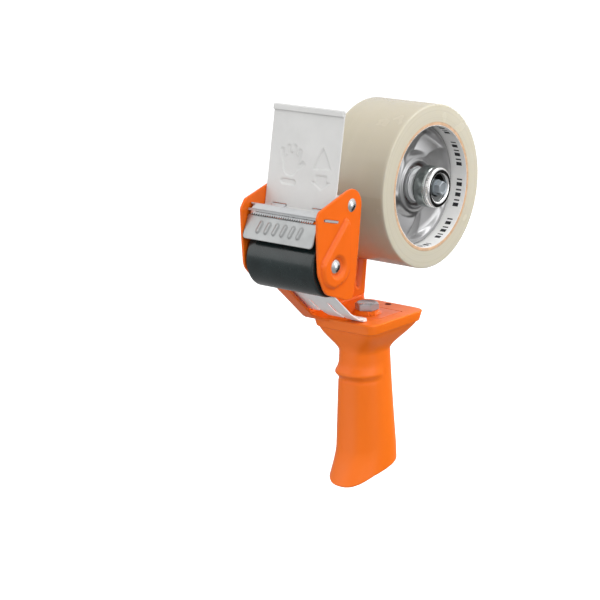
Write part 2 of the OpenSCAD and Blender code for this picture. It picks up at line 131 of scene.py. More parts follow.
def rounded(corners, steps=8, closed=True):
    """Outline or path whose corners (a, b, radius) are rounded by arcs."""
    points = []
    count = len(corners)
    for i, (x, y, radius) in enumerate(corners):
        here = np.array([x, y], float)
        if radius <= 0 or (not closed and i in (0, count - 1)):
            points.append(here)
            continue
        before = np.array(corners[i - 1][:2], float)
        after = np.array(corners[(i + 1) % count][:2], float)
        points += corner_arc(before, here, after, radius, steps)
    return np.array(points)


def circle(centre, radius, steps=48):
    """Round outline."""
    turn = np.linspace(0, 2 * math.pi, steps, endpoint=False)
    return np.stack([centre[0] + radius * np.cos(turn), centre[1] + radius * np.sin(turn)], 1)


def slot_outline(start, end, width, steps=8):
    """Outline of a slot with round ends between two points."""
    start, end = np.array(start, float), np.array(end, float)
    along = (end - start) / np.linalg.norm(end - start)
    heading = math.atan2(along[1], along[0])
    points = []
    for centre, first in ((end, heading - math.pi / 2), (start, heading + math.pi / 2)):
        turn = first + np.linspace(0, math.pi, steps)
        points += [centre + width / 2 * np.array([math.cos(t), math.sin(t)]) for t in turn]
    return np.array(points)


def spread(loop, step):
    """Closed loop with no edge longer than a step."""
    points = []
    for a, b in zip(loop, np.roll(loop, -1, axis=0)):
        pieces = max(1, math.ceil(np.linalg.norm(b - a) / step))
        points += [a + (b - a) * k / pieces for k in range(pieces)]
    return np.array(points)


def area(loop):
    """Signed area, positive when the loop runs anticlockwise."""
    x, y = loop[:, 0], loop[:, 1]
    return 0.5 * float(np.sum(x * np.roll(y, -1) - np.roll(x, -1) * y))


def inset(loop, distance):
    """Loop moved to its left by a distance."""
    after = np.roll(loop, -1, axis=0) - loop
    before = loop - np.roll(loop, 1, axis=0)
    na = np.stack([-after[:, 1], after[:, 0]], 1) / np.linalg.norm(after, axis=1)[:, None]
    nb = np.stack([-before[:, 1], before[:, 0]], 1) / np.linalg.norm(before, axis=1)[:, None]
    scale = np.maximum(1 + np.sum(na * nb, axis=1), 0.4)
    return loop + (na + nb) / scale[:, None] * distance


def inside(points, loops):
    """True for each point that an odd number of the loops hold."""
    x, y = points[:, 0][:, None], points[:, 1][:, None]
    odd = np.zeros(len(points), bool)
    for loop in loops:
        ax, ay = loop[:, 0], loop[:, 1]
        bx, by = np.roll(ax, -1), np.roll(ay, -1)
        crosses = ((ay > y) != (by > y)) & (x < (bx - ax) * (y - ay) / (by - ay + 1e-12) + ax)
        odd ^= np.sum(crosses, axis=1) % 2 == 1
    return odd


class Path:
    """Smooth side-view path, read by the distance along it."""

    def __init__(self, corners, steps=8):
        self.points = rounded(corners, steps, closed=False)
        gaps = np.linalg.norm(np.diff(self.points, axis=0), axis=1)
        self.marks = np.concatenate([[0], np.cumsum(gaps)])
        self.length = float(self.marks[-1])

    def at(self, s):
        return np.stack([np.interp(s, self.marks, self.points[:, k]) for k in (0, 1)], -1)

    def normal(self, s, reach=0.15):
        step = self.at(np.clip(s + reach, 0, self.length)) - self.at(np.clip(s - reach, 0, self.length))
        step /= np.linalg.norm(step, axis=-1, keepdims=True)
        return np.stack([-step[..., 1], step[..., 0]], -1)

    def near(self, point):
        """Distance along the path of its point nearest to a given one."""
        s = np.linspace(0, self.length, 600)
        return float(s[np.argmin(np.linalg.norm(self.at(s) - np.array(point), axis=1))])


# ---------- meshes ----------

MERGE_GAP = 1e-4


class Shell:
    """Vertices and faces that grow into one mesh."""

    def __init__(self):
        self.verts = []
        self.faces = []

    def add(self, verts, faces):
        start = len(self.verts)
        self.verts += [tuple(map(float, v)) for v in verts]
        self.faces += [tuple(int(i) + start for i in face) for face in faces]
        return self

    def build(self, name, sharp=35):
        """Object of this shell, smooth except where faces meet more sharply than an angle."""
        mesh = bpy.data.meshes.new(name)
        mesh.from_pydata([[c * MM for c in v] for v in self.verts], [], self.faces)
        work = bmesh.new()
        work.from_mesh(mesh)
        bmesh.ops.remove_doubles(work, verts=work.verts, dist=MERGE_GAP * MM)
        bmesh.ops.recalc_face_normals(work, faces=work.faces)
        work.to_mesh(mesh)
        work.free()
        mesh.shade_smooth()
        mesh.set_sharp_from_angle(angle=math.radians(sharp))
        piece = bpy.data.objects.new(name, mesh)
        bpy.context.scene.collection.objects.link(piece)
        return piece


def grid_faces(rows, columns, wrap_rows=False, wrap_columns=False):
    """Quads between the points of a grid."""
    faces = []
    for i in range(rows if wrap_rows else rows - 1):
        for j in range(columns if wrap_columns else columns - 1):
            a, b = (i + 1) % rows, (j + 1) % columns
            faces.append((i * columns + j, i * columns + b, a * columns + b, a * columns + j))
    return faces


def revolve(shell, centre, profile, steps=128, wave=None):
    """Adds a solid of revolution about X; the profile is a closed loop of (radius, x)."""
    turn = np.linspace(0, 2 * math.pi, steps, endpoint=False)
    verts = []
    for radius, x in profile:
        for t in turn:
            lift = wave(radius, t) if wave else 0
            verts.append((x + lift, centre[0] + radius * math.cos(t), centre[1] + radius * math.sin(t)))
    return shell.add(verts, grid_faces(len(profile), steps, True, True))


def lofted(shell, rings):
    """Adds a solid through rings of points, with a flat face at each end."""
    count = len(rings[0])
    last = (len(rings) - 1) * count
    faces = grid_faces(len(rings), count, False, True)
    faces += [tuple(range(count))[::-1], tuple(last + k for k in range(count))]
    return shell.add(np.concatenate(rings), faces)


def fanned(shell, rings, ends):
    """Adds a solid through rings of points, with a fan round a middle point at each end."""
    count = len(rings[0])
    last = 2 + (len(rings) - 1) * count
    faces = [tuple(i + 2 for i in face) for face in grid_faces(len(rings), count, False, True)]
    for j in range(count):
        k = (j + 1) % count
        faces += [(0, 2 + k, 2 + j), (1, last + j, last + k)]
    return shell.add(np.concatenate([ends, *rings]), faces)


def rod(shell, centre, profile, steps):
    """Adds a solid of revolution about X that has no bore; the profile runs from axis to axis."""
    rings = []
    for radius, x in profile[1:-1]:
        rings.append([(x, y, z) for y, z in circle(centre, radius, steps)])
    return fanned(shell, rings, [(profile[k][1], *centre) for k in (0, -1)])


def field_points(loops, low, high, step):
    """Grid of points that lie inside closed loops and not close to one."""
    us, vs = np.arange(low[0], high[0], step), np.arange(low[1], high[1], step)
    field = np.array([(u, v) for u in us for v in vs]).reshape(-1, 2)
    field = field[inside(field, loops)]
    rim = np.concatenate(loops)
    gap = np.array([np.min(np.hypot(rim[:, 0] - p[0], rim[:, 1] - p[1])) for p in field])
    return field[gap > step * 0.45]


def pressed(shell, outline, place, thickness=SHEET_T, holes=(), height=None, step=2.0, edge=0.25):
    """Adds a sheet of even thickness with rounded edges, pressed to a height over its plane.

    place turns arrays (u, v, w) into points, with w along the sheet's normal.
    """
    loops = [spread(outline if area(outline) > 0 else outline[::-1], step)]
    loops += [spread(hole if area(hole) < 0 else hole[::-1], step) for hole in holes]
    bevel = edge * 0.3
    inner = [inset(loop, edge) for loop in loops]
    middle = [inset(loop, bevel) for loop in loops]
    edges, start = [], 0
    for loop in inner:
        edges += [(start + i, start + (i + 1) % len(loop)) for i in range(len(loop))]
        start += len(loop)
    rim = np.concatenate(inner)
    field = field_points(inner, loops[0].min(axis=0), loops[0].max(axis=0), step)
    flat, _, faces = delaunay_2d_cdt([tuple(p) for p in np.concatenate([rim, field])], edges, [], 0, 1e-7)[:3]
    flat = np.array([tuple(p) for p in flat])
    centres = np.array([flat[list(face)].mean(axis=0) for face in faces])
    faces = [tuple(face) for face, held in zip(faces, inside(centres, inner)) if held]

    # Three rows of points on each side: the flat face, and two rows that round its edge
    half = thickness / 2
    rows = [(flat, half), (np.concatenate(middle), half - bevel), (np.concatenate(loops), half - edge)]
    verts, starts = [], []
    for side in (1, -1):
        for row, (uv, w) in enumerate(rows):
            base = rim if row else uv
            lift = height(base[:, 0], base[:, 1]) if height else np.zeros(len(base))
            starts.append(sum(len(v) for v in verts))
            verts.append(place(uv[:, 0], uv[:, 1], lift + side * w))
    top, top_mid, top_out, low, low_mid, low_out = starts
    faces += [tuple(low + i for i in reversed(face)) for face in faces]
    matched = [int(np.argmin(np.hypot(flat[:, 0] - p[0], flat[:, 1] - p[1]))) for p in rim]
    same = range(len(rim))
    order = [(top, matched), (top_mid, same), (top_out, same), (low_out, same), (low_mid, same),
        (low, matched)]
    for (a, near), (b, far) in zip(order, order[1:]):
        faces += [(a + near[i], a + near[j], b + far[j], b + far[i]) for i, j in edges]
    return shell.add(np.concatenate(verts), faces)


def facing_x(x):
    """Places a sheet square to X; u is y, v is z."""
    return lambda u, v, w: np.stack([x + w, u, v], 1)


def bent(path):
    """Places a sheet that follows a side-view path; u is x, v is the distance along it."""

    def place(u, v, w):
        at = path.at(v) + path.normal(v) * np.asarray(w)[:, None]
        return np.stack([u, at[:, 0], at[:, 1]], 1)

    return place


def tube(shell, points, radius, sides=10):
    """Adds a round wire along a list of points, closed at its ends."""
    points = np.array(points, float)
    ahead = np.gradient(points, axis=0)
    ahead /= np.linalg.norm(ahead, axis=1)[:, None]
    guide = np.array([0.0, 0.0, 1.0]) if abs(ahead[0][2]) < 0.9 else np.array([0.0, 1.0, 0.0])
    turn = np.linspace(0, 2 * math.pi, sides, endpoint=False)
    rings = []
    for p, t in zip(points, ahead):
        side = np.cross(guide, t)
        side /= np.linalg.norm(side)
        guide = np.cross(t, side)
        rings.append([p + radius * (side * math.cos(a) + guide * math.sin(a)) for a in turn])
    return lofted(shell, rings)


def helix(xs, centre, radius, turn):
    """Points of a wire wound about X, at places along X and angles."""
    return [(x, centre[0] + radius * math.cos(t), centre[1] + radius * math.sin(t)) for x, t in zip(xs, turn)]


def smooth_step(x):
    """Ramp from 0 to 1 with round ends, held outside 0 to 1."""
    x = np.clip(x, 0, 1)
    return x * x * (3 - 2 * x)


def plateau(distance, height, wall):
    """Raised area: full height where the signed distance is below -wall, 0 outside."""
    return height * smooth_step(-distance / wall)


def segment_distance(u, v, a, b):
    """Distance of points to the stretch between a and b."""
    a, b = np.array(a, float), np.array(b, float)
    d = b - a
    t = np.clip(((u - a[0]) * d[0] + (v - a[1]) * d[1]) / (d @ d), 0, 1)
    return np.hypot(u - a[0] - t * d[0], v - a[1] - t * d[1])


def loop_distance(u, v, loop):
    """Signed distance of points to a closed outline, negative inside."""
    nearest = np.full(np.shape(u), 1e9)
    for a, b in zip(loop, np.roll(loop, -1, axis=0)):
        nearest = np.minimum(nearest, segment_distance(u, v, a, b))
    held = inside(np.stack([np.ravel(u), np.ravel(v)], 1), [np.asarray(loop)]).reshape(np.shape(u))
    return np.where(held, -nearest, nearest)


# ---------- materials ----------


def add_node(tree, kind, inputs=(), **settings):
    """New shader node with its settings; inputs gives sockets or values by the input's name or number."""
    made = tree.nodes.new(kind)
    for key, value in settings.items():
        setattr(made, key, value)
    for key, value in dict(inputs).items():
        if isinstance(value, bpy.types.NodeSocket):
            tree.links.new(value, made.inputs[key])
        else:
            made.inputs[key].default_value = value
    return made


class Finish:
    """Principled material with node-made colour variation, gloss variation and bump."""

    def __init__(self, name, color, roughness, metallic=0.0):
        self.material = bpy.data.materials.new(name)
        self.material.use_nodes = True
        self.tree = self.material.node_tree
        self.shader = self.tree.nodes["Principled BSDF"]
        self.color = (*color, 1)
        self.roughness = roughness
        self.set(Base_Color=self.color, Roughness=roughness, Metallic=metallic)
        self.color_out = None
        self.bump_out = None
        self.split = None
        self.place = self.node("ShaderNodeTexCoord").outputs["Object"]

    def node(self, kind, inputs=(), **settings):
        return add_node(self.tree, kind, inputs, **settings)

    def feed(self, source, socket):
        """Links a socket into one of the shader's inputs."""
        self.tree.links.new(source, self.shader.inputs[socket])
        return self

    def set(self, **sockets):
        """Sets inputs of the shader; their names are written with _ for a space."""
        for name, value in sockets.items():
            self.shader.inputs[name.replace("_", " ")].default_value = value
        return self

    def axis(self, name):
        """Object coordinate along an axis, in metres."""
        if self.split is None:
            self.split = self.node("ShaderNodeSeparateXYZ", {"Vector": self.place})
        return self.split.outputs[name]

    def around(self, axes, centre):
        """Offsets along two axes from a point in millimetres, and the distance from it, in metres."""
        a, b = [self.math("SUBTRACT", self.axis(name), float(at * MM)) for name, at in zip(axes, centre)]
        square = self.math("ADD", self.math("MULTIPLY", a, a), self.math("MULTIPLY", b, b))
        return a, b, self.math("SQRT", square)

    def noise(self, scale, detail=4.0, stretch=None, rough=0.55):
        """Noise in object coordinates, which may be stretched along each axis."""
        place = self.place
        if stretch:
            place = self.node("ShaderNodeMapping", {"Scale": stretch, "Vector": place}).outputs["Vector"]
        inputs = {"Scale": scale, "Detail": detail, "Roughness": rough, "Vector": place}
        return self.node("ShaderNodeTexNoise", inputs).outputs["Fac"]

    def line_noise(self, value, scale, detail):
        """Noise along one value, such as a radius."""
        inputs = {"Scale": scale, "Detail": detail, "W": value}
        return self.node("ShaderNodeTexNoise", inputs, noise_dimensions="1D").outputs["Fac"]

    def ramp(self, value, low, high, out_low=0.0, out_high=1.0):
        """Maps a value from one range to another, held at the ends."""
        inputs = {"Value": value, "From Min": low, "From Max": high, "To Min": out_low, "To Max": out_high}
        return self.node("ShaderNodeMapRange", inputs).outputs["Result"]

    def math(self, operation, *values):
        """Sum of one or two values, each a number or a socket."""
        return self.node("ShaderNodeMath", enumerate(values), operation=operation).outputs["Value"]

    def tint(self, factor, color):
        """Mixes another colour in where a factor is high."""
        start = self.color if self.color_out is None else self.color_out
        inputs = {"Factor": factor, "A": start, "B": (*color, 1)}
        self.color_out = self.node("ShaderNodeMix", inputs, data_type="RGBA").outputs["Result"]
        return self.feed(self.color_out, "Base Color")

    def mottle(self, scale, amount, detail=3.0):
        """Darkens the colour a little in soft patches."""
        darker = tuple(c * (1 - amount) for c in self.color[:3])
        return self.tint(self.ramp(self.noise(scale, detail), 0.35, 0.7), darker)

    def gloss(self, scale, spread_by, detail=4.0):
        """Varies the roughness."""
        low, high = self.roughness - spread_by, self.roughness + spread_by
        return self.feed(self.ramp(self.noise(scale, detail), 0.3, 0.7, max(low, 0.02), high), "Roughness")

    def bump(self, value, depth, strength):
        """Adds relief of a depth in metres."""
        inputs = {"Strength": strength, "Distance": depth, "Height": value}
        if self.bump_out is not None:
            inputs["Normal"] = self.bump_out
        self.bump_out = self.node("ShaderNodeBump", inputs).outputs["Normal"]
        return self.feed(self.bump_out, "Normal")

    def edge_highlight_and_wear(self, color, amount=0.5):
        """Lightens convex edges in patches: a painted edge highlight, mixed with wear."""
        point = self.node("ShaderNodeNewGeometry").outputs["Pointiness"]
        factor = self.math("MULTIPLY", self.ramp(point, 0.56, 0.72), self.ramp(self.noise(300), 0.3, 0.6))
        return self.tint(self.math("MULTIPLY", factor, amount), color)

    def painted_crease_shade(self, color, low, high, amount):
        """Painted shade: darkens hollows, where pointiness is low."""
        point = self.node("ShaderNodeNewGeometry").outputs["Pointiness"]
        return self.tint(self.ramp(point, low, high, amount, 0.0), color)

    def coat(self, weight, roughness):
        """Adds a clear coat."""
        return self.set(Coat_Weight=weight, Coat_Roughness=roughness)


def orange_paint():
    """Baked paint of the two plates, with painted shade in the creases."""
    f = Finish("orange_paint", (0.84, 0.138, 0.005), 0.34)
    f.set(Specular_IOR_Level=0.28)
    f.mottle(60, 0.05).gloss(220, 0.06)
    f.bump(f.noise(1400, 2), 0.00003, 0.5)
    f.bump(f.noise(350, 2), 0.00005, 0.2)
    # Painted shade: the creases are darkened to stand in for the shade that falls in them.
    f.painted_crease_shade((0.50, 0.035, 0.003), 0.42, 0.497, 0.8)
    # Painted highlight along the plates' edges, partly wear as well.
    f.edge_highlight_and_wear((0.98, 0.32, 0.06))
    return f.coat(0.08, 0.2).material


def orange_plastic():
    """Moulded plastic of the grip, with painted shade inside the flange's small hole."""
    f = Finish("orange_plastic", (0.87, 0.164, 0.005), 0.38)
    f.set(Specular_IOR_Level=0.34)
    f.mottle(35, 0.04).gloss(150, 0.05)
    f.bump(f.noise(2600, 3, rough=0.7), 0.00003, 0.4)
    f.set(Subsurface_Weight=0.04, Subsurface_Radius=(0.004, 0.0012, 0.0004))
    # Painted highlight along the grip's edges, partly wear as well.
    f.edge_highlight_and_wear((1.0, 0.32, 0.06), 0.35)
    # Painted shade: the flange's small hole is coloured dark as if in shadow.
    _, _, reach = f.around("XY", FLANGE_HOLE)
    f.tint(f.math("LESS_THAN", reach, (FLANGE_HOLE_R + 0.1) * MM), (0.16, 0.014, 0.003))
    return f.material


def zinc_sheet(name, color, roughness, spangle=0.10, brushed=(1, 1, 1), metallic=1.0):
    """Galvanised or brushed sheet: soft spangle, fine scratches along one axis."""
    f = Finish(name, color, roughness, metallic)
    cell = f.node("ShaderNodeTexVoronoi", {"Scale": 260, "Vector": f.place})
    grey = f.node("ShaderNodeRGBToBW", {"Color": cell.outputs["Color"]})
    f.tint(f.ramp(grey.outputs["Val"], 0.1, 0.9, 0, spangle * 3), tuple(c * 0.72 for c in color))
    f.gloss(120, 0.04, 2)
    return f.bump(f.noise(700, 2, brushed), 0.00001, 0.25).material


def bright_steel(name, color, roughness, marks=0.12):
    """Plated or ground steel with fine marks."""
    f = Finish(name, color, roughness, 1.0)
    f.mottle(180, marks).gloss(300, roughness * 0.15)
    f.bump(f.noise(500, 2), 0.00001, marks)
    return f.material


def hub_polar(f):
    """Place along the hub's axis in metres, angle round it in turns, and radius in metres."""
    y, z, radius = f.around("YZ", HUB)
    angle = f.math("DIVIDE", f.math("ARCTAN2", z, y), 2 * math.pi)
    return f.axis("X"), angle, radius


def within(f, value, low, high):
    """1 where a value lies between two limits, else 0."""
    return f.math("MULTIPLY", f.math("GREATER_THAN", value, low), f.math("LESS_THAN", value, high))


def hub_steel():
    """Drawn sheet of the hub: smooth satin with faint rings from the press."""
    f = Finish("hub_steel", (0.48, 0.48, 0.485), 0.33, 1.0)
    _, _, radius = hub_polar(f)
    f.tint(f.ramp(f.line_noise(radius, 500, 2), 0.4, 0.7, 0, 0.12), (0.42, 0.42, 0.43))
    return f.gloss(60, 0.03, 2).material


# Where the painted highlight on the rim begins and is full, measured back from the knob's end, and radius of
# the painted shade in the dish
KNOB_RIM_HIGHLIGHT = (4.2, 3.0)
KNOB_DISH_SHADE_R = 8.6


def knob_chrome():
    """Nickel plating of the knob: slightly green on the body, with a painted highlight on the rim and painted
    shade in the dish.
    """
    f = Finish("knob_chrome", (0.36, 0.395, 0.385), 0.13, 1.0)
    x, _, radius = hub_polar(f)
    end = node_box("brake_knob")[1][0]
    # Painted highlight: the rim is made near white.
    f.tint(f.ramp(x, (end - KNOB_RIM_HIGHLIGHT[0]) * MM, (end - KNOB_RIM_HIGHLIGHT[1]) * MM), (0.95, 0.95, 0.95))
    # Painted shade: the dish round the spindle is made dark.
    f.tint(f.math("LESS_THAN", radius, KNOB_DISH_SHADE_R * MM), (0.20, 0.21, 0.21))
    return f.gloss(90, 0.02, 2).material


def roller_rubber():
    """Black rubber with a sheen and dusty specks."""
    f = Finish("roller_rubber", (0.012, 0.023, 0.024), 0.24)
    f.mottle(90, 0.35).gloss(120, 0.06)
    f.bump(f.noise(700, 3), 0.00002, 0.35)
    f.tint(f.ramp(f.noise(240, 5), 0.62, 0.74, 0, 0.10), (0.09, 0.10, 0.10))
    return f.coat(0.18, 0.12).material


def plain_plastic(name, color, roughness):
    """Moulded plastic or fibre with a fine grain."""
    f = Finish(name, color, roughness)
    f.mottle(70, 0.06).gloss(200, 0.05)
    f.bump(f.noise(1800, 3), 0.00002, 0.4)
    return f.material


def cardboard():
    """Brown core board with a fibrous face."""
    f = Finish("cardboard", (0.66, 0.43, 0.27), 0.82)
    f.mottle(400, 0.25, 5).gloss(300, 0.08)
    f.bump(f.noise(2200, 5, rough=0.75), 0.00005, 0.7)
    return f.material


# Rows of marks along the liner: start, pitch, and shift of each row against the last, in marks
LINER_START = -24
LINER_ROW = 9.6
LINER_SHIFT = 0.43
MARKS_ROUND = 9.0
BARS_PER_MARK = 4.0


def liner_paper():
    """White paper with a repeated plain mark of thick and thin bars, in staggered rows."""
    f = Finish("liner_paper", (0.97, 0.965, 0.95), 0.5)
    f.mottle(120, 0.05)
    x, angle, _ = hub_polar(f)
    row = f.math("DIVIDE", f.math("ADD", x, -LINER_START * MM), LINER_ROW * MM)
    shift = f.math("MULTIPLY", f.math("FLOOR", row), LINER_SHIFT)
    along = f.math("FRACT", f.math("ADD", f.math("MULTIPLY", angle, MARKS_ROUND), shift))
    cell = f.math("FRACT", f.math("MULTIPLY", along, BARS_PER_MARK))
    bars = f.math("ADD", f.math("LESS_THAN", cell, 0.36), within(f, cell, 0.56, 0.70))
    mark = f.math("MULTIPLY", bars, within(f, along, 0.0, 0.74))
    ink = f.math("MULTIPLY", mark, within(f, f.math("FRACT", row), 0.24, 0.66))
    f.tint(ink, (0.012, 0.012, 0.014))
    f.bump(f.noise(1500, 3), 0.00001, 0.4)
    return f.coat(0.2, 0.2).material


# Distances from the middle plane between which the film's body gives way to its side faces
FILM_FACE = (21.5, 23.8)


def tape_film():
    """Wound clear film: tan layered body, pale faces with fine rings, soft bands on the outside."""
    f = Finish("tape_film", (0.50, 0.455, 0.355), 0.26)
    x, angle, radius = hub_polar(f)
    f.tint(f.ramp(f.line_noise(angle, 7, 3), 0.4, 0.7, 0, 0.45), (0.42, 0.365, 0.265))
    f.tint(f.ramp(f.noise(9, 2, (14, 1, 1)), 0.45, 0.75, 0, 0.15), (0.60, 0.56, 0.46))
    rings = f.line_noise(radius, 900, 3)
    face = f.ramp(f.math("ABSOLUTE", x), FILM_FACE[0] * MM, FILM_FACE[1] * MM, 0, 1)
    f.tint(face, (0.58, 0.54, 0.435))
    f.tint(f.math("MULTIPLY", f.ramp(rings, 0.45, 0.7, 0, 0.3), face), (0.48, 0.44, 0.34))
    f.gloss(60, 0.02, 2)
    f.bump(rings, 0.00006, 0.35)
    f.bump(f.noise(25, 1), 0.0002, 0.10)
    f.set(Subsurface_Weight=0.25, Subsurface_Radius=(0.006, 0.005, 0.003), Specular_IOR_Level=0.3)
    return f.coat(0.12, 0.08).material


# Plain finishes: function, colour, roughness and what else it takes
FINISHES = {
    "brass": (bright_steel, (0.80, 0.58, 0.26), 0.30),
    "rivet_steel": (bright_steel, (0.74, 0.75, 0.76), 0.24),
    "blade_steel": (bright_steel, (0.60, 0.61, 0.62), 0.28),
    "bolt_steel": (zinc_sheet, (0.40, 0.44, 0.47), 0.24, 0.05, (1, 1, 1), 0.45),
    "zinc_steel": (zinc_sheet, (0.58, 0.59, 0.60), 0.40, 0.06, (1, 1, 1), 0.45),
    "guard_steel": (zinc_sheet, (0.41, 0.42, 0.42), 0.44, 0.05, (0.05, 1, 1)),
    "spring_steel": (zinc_sheet, (0.90, 0.91, 0.92), 0.36, 0.03, (1, 0.06, 0.06), 0.2),
    "black_plastic": (plain_plastic, (0.015, 0.015, 0.016), 0.5),
    "nylon": (plain_plastic, (0.72, 0.70, 0.62), 0.45),
    "wiper_plastic": (plain_plastic, (0.66, 0.66, 0.65), 0.38),
    "red_fibre": (plain_plastic, (0.30, 0.05, 0.025), 0.7),
}
MATERIALS = {name: make(name, *settings) for name, (make, *settings) in FINISHES.items()}
for make_own in (orange_paint, orange_plastic, hub_steel, knob_chrome, roller_rubber, cardboard, liner_paper,
    tape_film):
    MATERIALS[make_own.__name__] = make_own()
NODE_SLOTS = {part["node"]: part["material_slot"] for part in frame["record"]["subparts"]}


def stand_for(piece, node, body=None):
    """Lets a piece stand for a CAD node, with its material and slot, and ride on a body if one is given."""
    slot = NODE_SLOTS[node]
    piece.data.materials.clear()
    piece.data.materials.append(MATERIALS[slot])
    if body:
        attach(piece, body)
    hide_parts(node)


def finish_piece(shell, name, sharp, node, body="frame"):
    """Makes a shell into a piece that stands for a CAD node."""
    stand_for(shell.build(name, sharp), node, body)


for node_name, node_object in frame["nodes"].items():
    material = MATERIALS[NODE_SLOTS[node_name]]
    for material_slot in node_object.material_slots:
        material_slot.material = material
    if not node_object.material_slots:
        node_object.data.materials.append(material)


# ---------- side plates ----------

# Outlines in the side view, as corners (y, z, rounding)
HEAD_FRONT = [(-88.2, 134.4, 3), (-84.3, 139.7, 4), (-41.7, 151.7, 9.6)]
HEAD_CHIN = [(-74, 87.2, 12), (-85.6, 99, 10), (-87.3, 117.3, 30)]
CHEEK = [(-85.6, 134.6, 2.5), (-83.6, 138.3, 4), (-41.8, 151.6, 10.2), (-46.4, 110.5, 40), (-51.3, 81.2, 2),
    (-58.5, 81.8, 4), (-77.5, 88.4, 10), (-84.1, 101, 12), (-85.2, 118, 30)]
TEARDROP = [(-57.3, 131.8, 2), (-55.4, 128, 3), (-55.4, 98, 6), (-60.5, 93.2, 5), (-71, 90.4, 7),
    (-80, 94.5, 9), (-82.6, 106.5, 7)]
TEAR_H = 1.9
TEAR_WALL = 1.5
DIMPLE_R = 5.2
DIMPLE_WALL = 2.2
RIVET_HOLE_R = 2.4
SLOT_START = (-78.6, 132.6)
SLOT_END = (-66.4, 129.7)
SLOT_W = 1.6


def plate_holes(*others):
    """Holes of a side plate: two for the rods, others, and the slot for the bracket's tab."""
    return [circle(TIE, RIVET_HOLE_R, 24), circle(ROLLER, RIVET_HOLE_R, 24), *others,
        slot_outline(SLOT_START, SLOT_END, SLOT_W)]


def right_cheek():
    """Right plate of the head, with its raised teardrop panel and the dimple round the axle."""
    tear = rounded(TEARDROP)

    def height(u, v):
        lift = plateau(loop_distance(u, v, tear), TEAR_H, TEAR_WALL)
        return lift * smooth_step((np.hypot(u - ROLLER[0], v - ROLLER[1]) - DIMPLE_R) / DIMPLE_WALL)

    shell = Shell()
    pressed(shell, rounded(CHEEK), facing_x(PLATE_MID), holes=plate_holes(), height=height, step=0.9)
    finish_piece(shell, "right_cheek_sheet", 50, "right_cheek")


SLOPE_TOP = (-57.4, 81)
SLOPE_FOOT = (-31.6, 60)
BEND_R = 2.2
BEND_ARC = BEND_R * math.pi / 2
HUB_END_R = 18
BASE_MID = FLANGE_TOP - SHEET_T / 2
BASE_FRONT = -28.2
BASE_REAR = 33
FLAP_W = 11.5
# Rib pressed outwards in the arm, and ring round the hub pressed towards the roll: middle line or radius,
# half width, height, wall
RIB = ((30.5, 97), (26.2, 67))
RIB_HALF, RIB_H, RIB_WALL = 2.6, 1.8, 1.7
RING_R, RING_HALF, RING_H, RING_WALL = 13, 1.4, 0.7, 1.4
# Round boss raised under the bolt: radius, height, wall
BOSS_R, BOSS_H, BOSS_WALL = 8.8, 2.2, 1.3


def upright(shell, slope_end):
    """Adds the upright part of the left plate: head, arm with its rib, round end with its ring."""
    end = [(HUB[0] + HUB_END_R * math.cos(math.radians(a)), HUB[1] + HUB_END_R * math.sin(math.radians(a)), 0)
        for a in range(110, -11, -8)]
    rear = [(36.2, 88, 40), (BASE_REAR, BASE_MID + BEND_R, 1)]
    foot = [(BASE_FRONT - 0.1, BASE_MID + BEND_R, 3), (*slope_end, 1)]
    outline = rounded(HEAD_FRONT + [(-38.5, 131, 10)] + end + rear + foot + HEAD_CHIN)

    def height(u, v):
        rib = -plateau(segment_distance(u, v, *RIB) - RIB_HALF, RIB_H, RIB_WALL)
        reach = np.hypot(u - HUB[0], v - HUB[1])
        return rib + plateau(np.abs(reach - RING_R) - RING_HALF, RING_H, RING_WALL)

    holes = plate_holes(circle(HUB, 5.1, 32))
    pressed(shell, outline, facing_x(-PLATE_MID), holes=holes, height=height, step=1.6)


def base_strip(shell, path):
    """Adds what is bent from the upright's lower edge: the sloping flap and the base plate."""

    def place(u, v, w):
        turn = np.clip(u, 0, BEND_ARC) / BEND_R
        x = -PLATE_MID + BEND_R * (1 - np.cos(turn)) + np.maximum(u - BEND_ARC, 0)
        rise = BEND_R * (1 - np.sin(turn))
        at = path.at(v) + path.normal(v) * (rise - w * np.sin(turn))[:, None]
        return np.stack([x - w * np.cos(turn), at[:, 0], at[:, 1]], 1)

    def flat(x, y):
        return x + PLATE_MID - BEND_R + BEND_ARC, path.near((y, BASE_MID))

    def height(u, v):
        x = u - BEND_ARC + BEND_R - PLATE_MID
        return -plateau(np.hypot(x, path.at(v)[..., 0]) - BOSS_R, BOSS_H, BOSS_WALL)

    corners = [(0, 0, 0), (FLAP_W, 0, 3), (FLAP_W, path.near((BASE_FRONT - 3, 60)), 3), (*flat(-8, -26.5), 4),
        (*flat(4, -24), 3), (*flat(14.8, -9), 2), (*flat(16, -6), 1), (*flat(16, 15), 1.5),
        (*flat(-14, 15), 3), (*flat(-25, 31), 2), (0, path.near((BASE_REAR, BASE_MID)), 0)]
    hole = circle(flat(0, 0), BOLT_HOLE_R, 32)
    pressed(shell, rounded(corners), place, holes=[hole], height=height, step=1.2)


def frame_plate():
    """Left plate: the upright, and the flap and base plate that round bends join to it."""
    lean = math.atan2(SLOPE_TOP[1] - SLOPE_FOOT[1], SLOPE_FOOT[0] - SLOPE_TOP[0])
    up = np.array([math.sin(lean), math.cos(lean)])
    slope_top = np.array(SLOPE_TOP) + up * SHEET_T / 2
    shell = Shell()
    upright(shell, slope_top + up * BEND_R)
    base_strip(shell, Path([(*slope_top, 0), (BASE_FRONT - 0.9, BASE_MID, 5), (BASE_REAR, BASE_MID, 0)]))
    finish_piece(shell, "frame_plate_sheet", 50, "frame_plate")


right_cheek()
frame_plate()


# ---------- handle ----------

